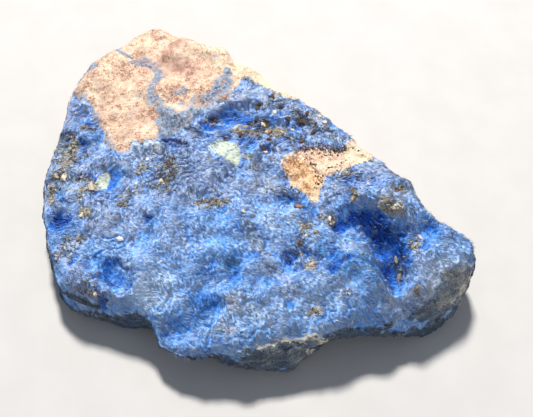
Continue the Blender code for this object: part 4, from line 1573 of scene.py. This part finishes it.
class Scatter:
    """A Geometry Nodes tree that scatters one small shape over the skin and joins the copies."""

    def __init__(self, name: str, numbers: dict[str, float], material: bpy.types.Material) -> None:
        """Opens the tree with its named inputs.

        Args:
            name: The tree's name.
            numbers: Each input's name and value.
            material: What the copies are made of.
        """
        self.tree = bpy.data.node_groups.new(name, "GeometryNodeTree")
        self.numbers = numbers
        self.material = material
        face = self.tree.interface
        face.new_socket("Skin", in_out="INPUT", socket_type="NodeSocketGeometry")
        face.new_socket("Copies", in_out="OUTPUT", socket_type="NodeSocketGeometry")
        for key in numbers:
            face.new_socket(key, in_out="INPUT", socket_type="NodeSocketFloat")
        face.new_socket("Seed", in_out="INPUT", socket_type="NodeSocketInt")
        face.new_socket("Finish", in_out="INPUT", socket_type="NodeSocketMaterial")
        self.graph = Graph(self.tree)
        self.entry = self.graph.add("NodeGroupInput")

    def input(self, name: str) -> Wire:
        """Gives one of the tree's inputs."""
        return self.graph.output(self.entry, name)

    def read(self, name: str, kind: str = "FLOAT") -> Wire:
        """Reads one of the skin's attributes."""
        return self.graph.add("GeometryNodeInputNamedAttribute", {"data_type": kind}, {"Name": name})

    def random(self, low: object, high: object, draw: int, kind: str = "FLOAT") -> Wire:
        """Draws one value for each copy, always the same ones.

        Args:
            low: Least value.
            high: Greatest value.
            draw: Which draw it is, so that no two are alike.
            kind: FLOAT or FLOAT_VECTOR.

        Returns:
            The value drawn.
        """
        sockets = {"Min": low, "Max": high, "Seed": self.input("Seed") + float(draw)}
        return self.graph.add("FunctionNodeRandomValue", {"data_type": kind}, sockets)

    def store(
        self, copies: Wire, name: str, value: Wire, domain: str = "INSTANCE", kind: str = "FLOAT"
    ) -> Wire:
        """Keeps a value on the copies under a name.

        Args:
            copies: The copies.
            name: The name.
            value: The value.
            domain: What has a value each: INSTANCE, POINT or CORNER.
            kind: FLOAT or FLOAT2.

        Returns:
            The copies with the value.
        """
        settings = {"data_type": kind, "domain": domain}
        sockets = {"Geometry": copies, "Name": name, "Value": value}
        return self.graph.add("GeometryNodeStoreNamedAttribute", settings, sockets)

    def points(self, weight: str) -> tuple[Wire, Wire]:
        """Scatters points over the skin, as thickly as one of its attributes says, and sinks them a little.

        Args:
            weight: The attribute's name.

        Returns:
            The points, and the direction out of the skin at each.
        """
        density = self.input("Density") * self.read(weight)
        settings = {"distribute_method": "RANDOM"}
        sockets = {"Mesh": self.input("Skin"), "Density": density, "Seed": self.input("Seed")}
        scattered = self.graph.add("GeometryNodeDistributePointsOnFaces", settings, sockets)
        out = self.graph.output(scattered, "Normal")
        sink = self.graph.vector("SCALE", out, self.input("Sink") * -1.0)
        return self.graph.add("GeometryNodeSetPosition", {}, {"Geometry": scattered, "Offset": sink}), out

    def lean(self, out: Wire) -> Wire:
        """Turns each copy along the comb, loosely, and lifts its tip off the skin.

        Args:
            out: The direction out of the skin.

        Returns:
            The copies' rotation.
        """
        graph = self.graph
        loose = self.random((-1.0, -1.0, -1.0), (1.0, 1.0, 1.0), 1, "FLOAT_VECTOR")
        stray = graph.vector("SCALE", loose, self.input("Spread"))
        way = graph.vector("ADD", self.read("comb", "FLOAT_VECTOR"), stray)
        rise = graph.vector("DOT_PRODUCT", way, out)
        flat = graph.vector("NORMALIZE", graph.vector("SUBTRACT", way, graph.vector("SCALE", out, rise)))
        lift = self.input("Lift") * self.random(0.1, 1.7, 2) * (self.read("stand") * 0.8 + 0.2)
        raised = graph.vector("ADD", flat, graph.vector("SCALE", out, lift))
        return graph.add("FunctionNodeAlignRotationToVector", {"axis": "Z"}, {"Vector": raised})

    def close(self, copies: Wire, u: Wire, v: Wire) -> None:
        """Joins the copies, gives them their colour map and finish, and ends the tree.

        Args:
            copies: The copies.
            u: Where they lie along the map.
            v: Where they lie across the map.
        """
        joined = self.graph.add("GeometryNodeRealizeInstances", {}, {"Geometry": copies})
        place = self.graph.add("ShaderNodeCombineXYZ", {}, {"X": u, "Y": v})
        mapped = self.store(joined, UV_NAME, place, "CORNER", "FLOAT2")
        sockets = {"Geometry": mapped, "Material": self.input("Finish")}
        done = self.graph.add("GeometryNodeSetMaterial", {}, sockets)
        self.graph.add("NodeGroupOutput", {}, {"Copies": done})

    def run(self, name: str, skin: bpy.types.Object, seed: int, corners: int) -> bpy.types.Object:
        """Runs the tree on the skin.

        Args:
            name: The new piece's name.
            skin: The dressed skin.
            seed: The scatter's seed.
            corners: How many points each copy has.

        Returns:
            A plain mesh of the joined copies.
        """
        carrier = placed(name + "_carrier", skin.data)
        modifier = carrier.modifiers.new("scatter", "NODES")
        modifier.node_group = self.tree
        values = {**self.numbers, "Seed": seed, "Finish": self.material}
        for item in self.tree.interface.items_tree:
            if item.item_type == "SOCKET" and item.in_out == "INPUT" and item.name in values:
                modifier[item.identifier] = values[item.name]
        graph = bpy.context.evaluated_depsgraph_get()
        mesh = bpy.data.meshes.new_from_object(carrier.evaluated_get(graph))
        bpy.data.objects.remove(carrier)
        kept = {UV_NAME, "position"}
        extras = [a.name for a in mesh.attributes if not (a.name in kept or a.is_internal or a.is_required)]
        for extra in extras:
            mesh.attributes.remove(mesh.attributes[extra])
        mesh.materials.clear()
        mesh.materials.append(self.material)
        hold_inside(mesh, corners)
        return placed(name, mesh)


def hold_inside(mesh: bpy.types.Mesh, corners: int) -> None:
    """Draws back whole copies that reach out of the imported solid's box.

    Args:
        mesh: The joined copies, one after another.
        corners: How many points each copy has.
    """
    low, high = (np.array(corner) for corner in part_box(NODE))
    copies = gathered(mesh.vertices, "co", 3).reshape(-1, corners, 3).astype(float)
    over = np.maximum(copies.max(axis=1) - high, 0) - np.maximum(low - copies.min(axis=1), 0)
    mesh.vertices.foreach_set("co", (copies - over[:, None]).astype(np.float32).ravel())
    mesh.update()


def weighted_area(mesh: bpy.types.Mesh, name: str) -> float:
    """Adds up a mesh's area, counted as thickly as one of its attributes says.

    Args:
        mesh: A mesh of triangles.
        name: The attribute.

    Returns:
        The weighted area in square metres.
    """
    weight = gathered(mesh.attributes[name].data, "value")
    corners = gathered(mesh.loops, "vertex_index", kind=np.int32)
    area = gathered(mesh.polygons, "area")
    return float((area * weight[corners].reshape(-1, 3).mean(axis=1)).sum())


@dataclass
class NeedleCoat:
    """One coat of crystal needles that lie combed over the crust. Sizes in mm."""

    name: str
    seed: int
    length: float
    thickness: float
    spread: float
    lift: float
    scatter: float
    paler: float = 0.0
    sink: float = 0.05
    count: int = 64500
    sides: int = 3

    def build(self, skin: bpy.types.Object, material: bpy.types.Material) -> bpy.types.Object:
        """Grows the coat on the skin.

        Args:
            skin: The dressed skin.
            material: The needles' finish.

        Returns:
            The coat as one mesh.
        """
        numbers = {
            "Density": self.count / weighted_area(skin.data, "fur"), "Length": self.length * MM,
            "Thickness": self.thickness * MM, "Sink": self.sink * MM, "Spread": self.spread,
            "Lift": self.lift, "Paler": self.paler, "Scatter": self.scatter,
        }
        scatter = Scatter(self.name, numbers, material)
        points, out = scatter.points("fur")
        copies = scatter.graph.add("GeometryNodeInstanceOnPoints", {}, {
            "Points": points, "Instance": self._needle(scatter), "Rotation": scatter.lean(out),
            "Scale": self._size(scatter),
        })
        own = scatter.random(-1.0, 1.0, 5) * scatter.input("Scatter") * scatter.read("wild")
        copies = scatter.store(copies, "shade", scatter.read("tone") + scatter.input("Paler") + own)
        copies = scatter.store(copies, "tint", scatter.read("hue") + scatter.random(-0.055, 0.055, 6))
        # Painted highlight and shade: each needle pales towards its tip and is deeper at its root.
        u = scatter.read("shade") + scatter.read("reach") * 0.2 - 0.08
        scatter.close(copies, u.clamped(0.01, 0.99), scatter.read("tint").clamped(0.01, 0.99))
        return scatter.run(self.name, skin, self.seed, self.sides + 1)

    def _needle(self, scatter: Scatter) -> Wire:
        """Makes one needle, a unit long, that knows its root from its tip.

        Args:
            scatter: The coat's tree.

        Returns:
            The needle.
        """
        sizes = {"Vertices": self.sides, "Radius Top": 0.0, "Radius Bottom": 0.5, "Depth": 1.0}
        cone = scatter.graph.add("GeometryNodeMeshCone", {"fill_type": "NONE"}, sizes)
        place = scatter.graph.add("GeometryNodeInputPosition")
        split = scatter.graph.add("ShaderNodeSeparateXYZ", {}, {"Vector": place})
        return scatter.store(cone, "reach", scatter.graph.output(split, "Z"), "POINT")

    @staticmethod
    def _size(scatter: Scatter) -> Wire:
        """Draws each needle's thickness and length.

        Args:
            scatter: The coat's tree.

        Returns:
            The needle's scale across, across and along.
        """
        thick = scatter.input("Thickness") * scatter.random(0.6, 1.3, 3)
        long = scatter.input("Length") * scatter.random(0.5, 1.35, 4)
        return scatter.graph.add("ShaderNodeCombineXYZ", {}, {"X": thick, "Y": thick, "Z": long})


@dataclass
class Grit:
    """Small earthy grains caught in the crust. Sizes in mm."""

    name: str = "earthy_grains"
    seed: int = 41
    count: int = 3600
    size: float = 0.19
    sink: float = -0.04
    spread: float = 1.6
    lift: float = 0.25
    corners: int = 12

    def build(self, skin: bpy.types.Object, material: bpy.types.Material) -> bpy.types.Object:
        """Strews the grains over the skin.

        Args:
            skin: The dressed skin.
            material: The grains' finish.

        Returns:
            The grains as one mesh.
        """
        numbers = {
            "Density": self.count / weighted_area(skin.data, "grit"), "Size": self.size * MM,
            "Sink": self.sink * MM, "Spread": self.spread, "Lift": self.lift,
        }
        scatter = Scatter(self.name, numbers, material)
        graph = scatter.graph
        points, out = scatter.points("grit")
        pebble = graph.add("GeometryNodeMeshIcoSphere", {}, {"Radius": 1.0, "Subdivisions": 1})
        shape = scatter.random((0.45, 0.3, 0.5), (1.1, 0.8, 1.5), 2, "FLOAT_VECTOR")
        draw = scatter.random(0.0, 1.0, 3)
        size = scatter.input("Size") * (draw * draw + 0.45)
        copies = graph.add("GeometryNodeInstanceOnPoints", {}, {
            "Points": points, "Instance": pebble, "Rotation": scatter.lean(out),
            "Scale": graph.vector("SCALE", shape, size),
        })
        earth = scatter.read("soil") * scatter.random(0.3, 1.1, 5) + scatter.random(-0.1, 0.15, 6)
        copies = scatter.store(copies, "shade", scatter.random(0.02, 0.98, 4))
        copies = scatter.store(copies, "earth", earth)
        scatter.close(copies, scatter.read("shade"), scatter.read("earth").clamped(0.01, 0.99))
        return scatter.run(self.name, skin, self.seed, self.corners)


class Earth(Enum):
    """What a flake is made of, as its place among the grains' colours."""

    DARK = 0.03
    BROWN = 0.1
    OLIVE = 0.36
    OCHRE = 0.68
    QUARTZ = 0.97


@dataclass(frozen=True)
class Flake:
    """One larger flake, with half sizes in millimetres, its turn in degrees and its shade 0 to 1."""

    x: float
    y: float
    long: float
    wide: float
    turn: float
    earth: Earth
    shade: float


FLAKES = tuple(Flake(*row) for row in (
    (-16.5, -3.1, 0.55, 0.42, 30, Earth.OCHRE, 0.85), (-1.4, -10.4, 0.6, 0.4, 70, Earth.OCHRE, 0.9),
    (25.3, -21.3, 0.7, 0.35, 80, Earth.OLIVE, 0.8), (24.9, -18.5, 0.7, 0.25, -10, Earth.OLIVE, 0.75),
    (28.9, -15.3, 0.5, 0.25, -15, Earth.QUARTZ, 0.6), (27.7, -17.0, 0.6, 0.3, -10, Earth.OLIVE, 0.7),
    (-34.9, -0.5, 0.8, 0.65, 40, Earth.QUARTZ, 0.6), (-36.1, -0.7, 0.6, 0.5, 80, Earth.OCHRE, 0.55),
    (-23.0, -14.3, 0.7, 0.45, 20, Earth.QUARTZ, 0.85), (-30.9, -13.2, 0.55, 0.4, 20, Earth.OCHRE, 0.25),
    (-29.4, -3.2, 1.1, 0.5, 25, Earth.OCHRE, 0.8), (-26.7, -24.2, 0.6, 0.35, 0, Earth.QUARTZ, 0.4),
    (-30.6, -8.9, 0.5, 0.35, 60, Earth.OCHRE, 0.95), (10.1, -20.5, 0.5, 0.3, -20, Earth.OCHRE, 0.9),
    (8.3, -8.9, 0.55, 0.35, 10, Earth.BROWN, 0.7), (8.1, -16.3, 0.5, 0.45, 0, Earth.BROWN, 0.6),
    (11.0, -14.4, 0.45, 0.3, 30, Earth.OCHRE, 0.3), (13.6, -11.0, 0.6, 0.3, -30, Earth.QUARTZ, 0.7),
    (-2.6, 8.8, 0.5, 0.3, 0, Earth.QUARTZ, 0.6), (2.6, 7.2, 0.5, 0.35, 20, Earth.OCHRE, 0.8),
    (-19.4, 2.2, 0.4, 0.3, 0, Earth.QUARTZ, 0.9), (27.8, -24.6, 0.6, 0.35, -50, Earth.OCHRE, 0.2),
    (21.7, -13.6, 0.35, 0.2, 0, Earth.BROWN, 0.4), (0.9, 12.7, 0.59, 0.42, 10, Earth.BROWN, 0.5),
    (5.4, 12.5, 0.56, 0.45, 0, Earth.DARK, 0.3), (3.7, 14.6, 0.63, 0.39, -10, Earth.DARK, 0.6),
    (2.0, 8.9, 0.59, 0.45, 30, Earth.OCHRE, 0.9), (0.7, 10.0, 0.63, 0.42, 60, Earth.DARK, 0.25),
    (-0.7, 7.0, 0.56, 0.42, 0, Earth.BROWN, 0.65), (0.8, 7.1, 0.63, 0.42, 20, Earth.DARK, 0.4),
    (3.0, 7.4, 0.59, 0.42, -20, Earth.BROWN, 0.9), (4.8, 7.1, 0.84, 0.59, 10, Earth.OCHRE, 0.6),
    (-2.3, 6.4, 0.53, 0.39, 0, Earth.BROWN, 0.45), (-3.2, 8.2, 0.7, 0.49, 20, Earth.QUARTZ, 0.35),
    (9.0, 8.9, 0.63, 0.42, -30, Earth.BROWN, 0.45), (9.0, 4.8, 0.48, 0.36, 0, Earth.BROWN, 0.45),
    (2.0, 2.7, 0.56, 0.42, 10, Earth.DARK, 0.2), (2.4, 1.8, 0.5, 0.31, 0, Earth.QUARTZ, 0.8),
    (11.2, 6.8, 0.53, 0.39, -20, Earth.DARK, 0.3), (13.4, 9.0, 0.63, 0.35, -30, Earth.QUARTZ, 0.55),
    (12.4, 10.4, 0.56, 0.35, -30, Earth.QUARTZ, 0.5), (8.1, -8.7, 0.7, 0.5, 20, Earth.BROWN, 0.85),
    (17.7, -8.5, 0.56, 0.48, 80, Earth.OCHRE, 0.55), (4.0, 11.2, 0.59, 0.34, 0, Earth.QUARTZ, 0.5),
    (6.5, 9.3, 0.56, 0.39, 20, Earth.DARK, 0.3), (-1.5, 8.7, 0.5, 0.36, 0, Earth.OCHRE, 0.5),
    (3.0, 4.6, 0.48, 0.36, 30, Earth.DARK, 0.3), (7.3, 7.4, 0.56, 0.28, -20, Earth.QUARTZ, 0.7),
    (10.1, 10.8, 0.48, 0.34, 0, Earth.DARK, 0.5),
))


@dataclass
class Flakes:
    """The larger flakes of rock and ochre, each set on the crust where it lies. Sizes in mm."""

    sides: int = 7
    thick: float = 0.24
    tilt: float = 12.0
    ragged: float = 0.5
    stand: float = 0.2
    above: float = 50.0
    layers: tuple[tuple[float, float], ...] = ((-1.4, 0.8), (-0.2, 1.0), (0.5, 0.72))
    seed: int = 51

    def build(self, skin: bpy.types.Object, material: bpy.types.Material) -> bpy.types.Object:
        """Sets every flake on the skin.

        Args:
            skin: The dressed skin.
            material: The flakes' finish.

        Returns:
            The flakes as one mesh.
        """
        tree = BVHTree.FromObject(skin, bpy.context.evaluated_depsgraph_get())
        draw = np.random.default_rng(self.seed)
        shell = bmesh.new()
        uv = shell.loops.layers.uv.new(UV_NAME)
        for flake in FLAKES:
            faces = self._add(shell, flake, self._seat(flake, tree, draw), draw)
            for face in faces:
                shade = min(max(flake.shade + draw.uniform(-0.1, 0.1), 0.02), 0.98)
                for loop in face.loops:
                    loop[uv].uv = (shade, flake.earth.value)
        mesh = bpy.data.meshes.new("rock_flakes")
        shell.to_mesh(mesh)
        shell.free()
        mesh.materials.append(material)
        return placed("rock_flakes", mesh)

    def _seat(self, flake: Flake, tree: BVHTree, draw: np.random.Generator) -> Matrix:
        """Finds where a flake lies: on the skin under it, turned to it and tilted a little.

        Args:
            flake: The flake.
            tree: The skin's faces.
            draw: Draws the tilt.

        Returns:
            The flake's place and turn, in metres.
        """
        start = Vector((flake.x * MM, flake.y * MM, self.above * MM))
        place, out, _, _ = tree.ray_cast(start, Vector((0, 0, -1)))
        level = out.to_track_quat("Z", "Y").to_matrix().to_4x4()
        tilts = [math.radians(tilt) for tilt in draw.uniform(-self.tilt, self.tilt, 2)]
        lean = Euler((*tilts, math.radians(flake.turn))).to_matrix().to_4x4()
        return Matrix.Translation(place + out * self.stand * MM) @ level @ lean

    def _add(
        self, shell: bmesh.types.BMesh, flake: Flake, where: Matrix, draw: np.random.Generator
    ) -> list[bmesh.types.BMFace]:
        """Adds one flake: a ragged plate, thinner towards its rim.

        Args:
            shell: What it is added to.
            flake: The flake.
            where: Its place and turn.
            draw: Draws the ragged rim.

        Returns:
            Its faces.
        """
        rings = []
        for lift, grow in self.layers:
            ring = []
            for step in range(self.sides):
                angle = 2 * math.pi * (step + draw.uniform(-0.25, 0.25)) / self.sides
                reach = grow * (1 + draw.uniform(-self.ragged, self.ragged))
                height = self.thick * (lift + draw.uniform(-0.2, 0.2))
                along = flake.long * reach * math.cos(angle)
                across = flake.wide * reach * math.sin(angle)
                ring.append(shell.verts.new(where @ (Vector((along, across, height)) * MM)))
            rings.append(ring)
        faces = [shell.faces.new(rings[0][::-1]), shell.faces.new(rings[-1])]
        for below, above in zip(rings, rings[1:]):
            for step in range(self.sides):
                after = (step + 1) % self.sides
                faces.append(shell.faces.new((below[step], below[after], above[after], above[step])))
        return faces


# ------------------------ the studio


@dataclass
class Studio:
    """The table, the lights and the camera. Sizes in metres, angles in degrees."""

    target: tuple[float, float, float] = (0.00254, -0.00707, 0.009)
    distance: float = 0.1608
    elevation: float = 60.0
    lens: float = 60.0
    sensor: float = 36.0
    near: float = 0.005
    beyond: float = 10.0
    table: float = 1.2
    gap: float = 0.00002
    key_from: tuple[float, float, float] = (-0.04, 0.47, 0.8)
    key_away: float = 0.8
    key_size: float = 0.1
    key_power: float = 9.0
    fill_from: tuple[float, float, float] = (0.5, -0.5, 0.45)
    fill_size: float = 0.6
    fill_power: float = 0.4
    sky: Colour = paint(210, 225, 250)
    sky_strength: float = 0.32
    finish: FloorFinish = FloorFinish()

    def build(self) -> None:
        """Sets up everything round the stone."""
        self._table()
        self._light("key", Vector(self.key_from).normalized() * self.key_away, self.key_size, self.key_power)
        self._light("fill", Vector(self.fill_from), self.fill_size, self.fill_power)
        self._sky()
        self._camera()

    def _table(self) -> None:
        """Lays the table just under the stone."""
        mesh = bpy.data.meshes.new("table")
        half = self.table / 2
        corners = [(x, y, -self.gap) for x, y in ((-half, -half), (half, -half), (half, half), (-half, half))]
        mesh.from_pydata(corners, [], [(0, 1, 2, 3)])
        mesh.materials.append(self.finish.material())
        table = placed("table", mesh)

    @staticmethod
    def _light(name: str, place: Vector, size: float, power: float) -> None:
        """Hangs one soft square light that faces the stone.

        Args:
            name: The light's name.
            place: Where it hangs.
            size: Its width.
            power: Its power in watts.
        """
        lamp = bpy.data.lights.new(name, "AREA")
        lamp.size = size
        lamp.energy = power
        light = placed(name, lamp)
        light.location = place
        light.rotation_euler = place.to_track_quat("Z", "Y").to_euler()

    def _sky(self) -> None:
        """Fills the room with even, slightly cool light."""
        world = bpy.data.worlds.new("room")
        world.use_nodes = True
        room = world.node_tree.nodes["Background"]
        room.inputs["Color"].default_value = self.sky
        room.inputs["Strength"].default_value = self.sky_strength
        bpy.context.scene.world = world

    def _camera(self) -> None:
        """Stands the camera in front of the stone, looking down on it."""
        data = bpy.data.cameras.new("camera")
        data.lens = self.lens
        data.sensor_width = self.sensor
        data.clip_start = self.near
        data.clip_end = self.beyond
        camera = placed("camera", data)
        rise = math.radians(self.elevation)
        camera.location = Vector(self.target) + Vector((0, -math.cos(rise), math.sin(rise))) * self.distance
        camera.rotation_euler = (math.radians(90 - self.elevation), 0, 0)
        bpy.context.scene.camera = camera
        bpy.context.scene.view_settings.view_transform = "Standard"


# ------------------------ the whole piece


# From the skin outward: short needles deepened as painted shade deep in the nap, the main coat, and the
# palest tips, paled as a painted highlight.
COATS = (
    NeedleCoat("needle_undercoat", 61, 0.55, 0.15, spread=0.9, lift=0.08, scatter=0.28, paler=-0.14),
    NeedleCoat("needle_coat", 62, 0.95, 0.12, spread=0.5, lift=0.12, scatter=0.5),
    NeedleCoat("needle_tips", 63, 1.15, 0.1, spread=0.4, lift=0.15, scatter=0.58, paler=0.14),
)


def plain(box: object) -> list:
    """Turns a box of vectors into plain lists of numbers."""
    return [[float(value) for value in corner] for corner in box]


def settle(piece: bpy.types.Object) -> bpy.types.Object:
    """Ties a finished piece to the stone's body, and reports it.

    Args:
        piece: The piece.

    Returns:
        The same piece.
    """
    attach(piece, BODY)
    LOG.info("%s: %d faces", piece.name, len(piece.data.polygons))
    return piece


def main() -> None:
    """Builds the stone's looks and the studio."""
    logging.basicConfig(level=logging.INFO, format="%(name)s %(message)s")
    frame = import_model()
    skin = settle(StoneSkin().build(frame["nodes"][NODE]))
    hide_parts(NODE)
    needles = NeedleFinish().material()
    for coat in COATS:
        settle(coat.build(skin, needles))
    earth = GrainFinish().material()
    settle(Grit().build(skin, earth))
    settle(Flakes().build(skin, earth))
    Studio().build()


if __name__ == "__main__":
    main()
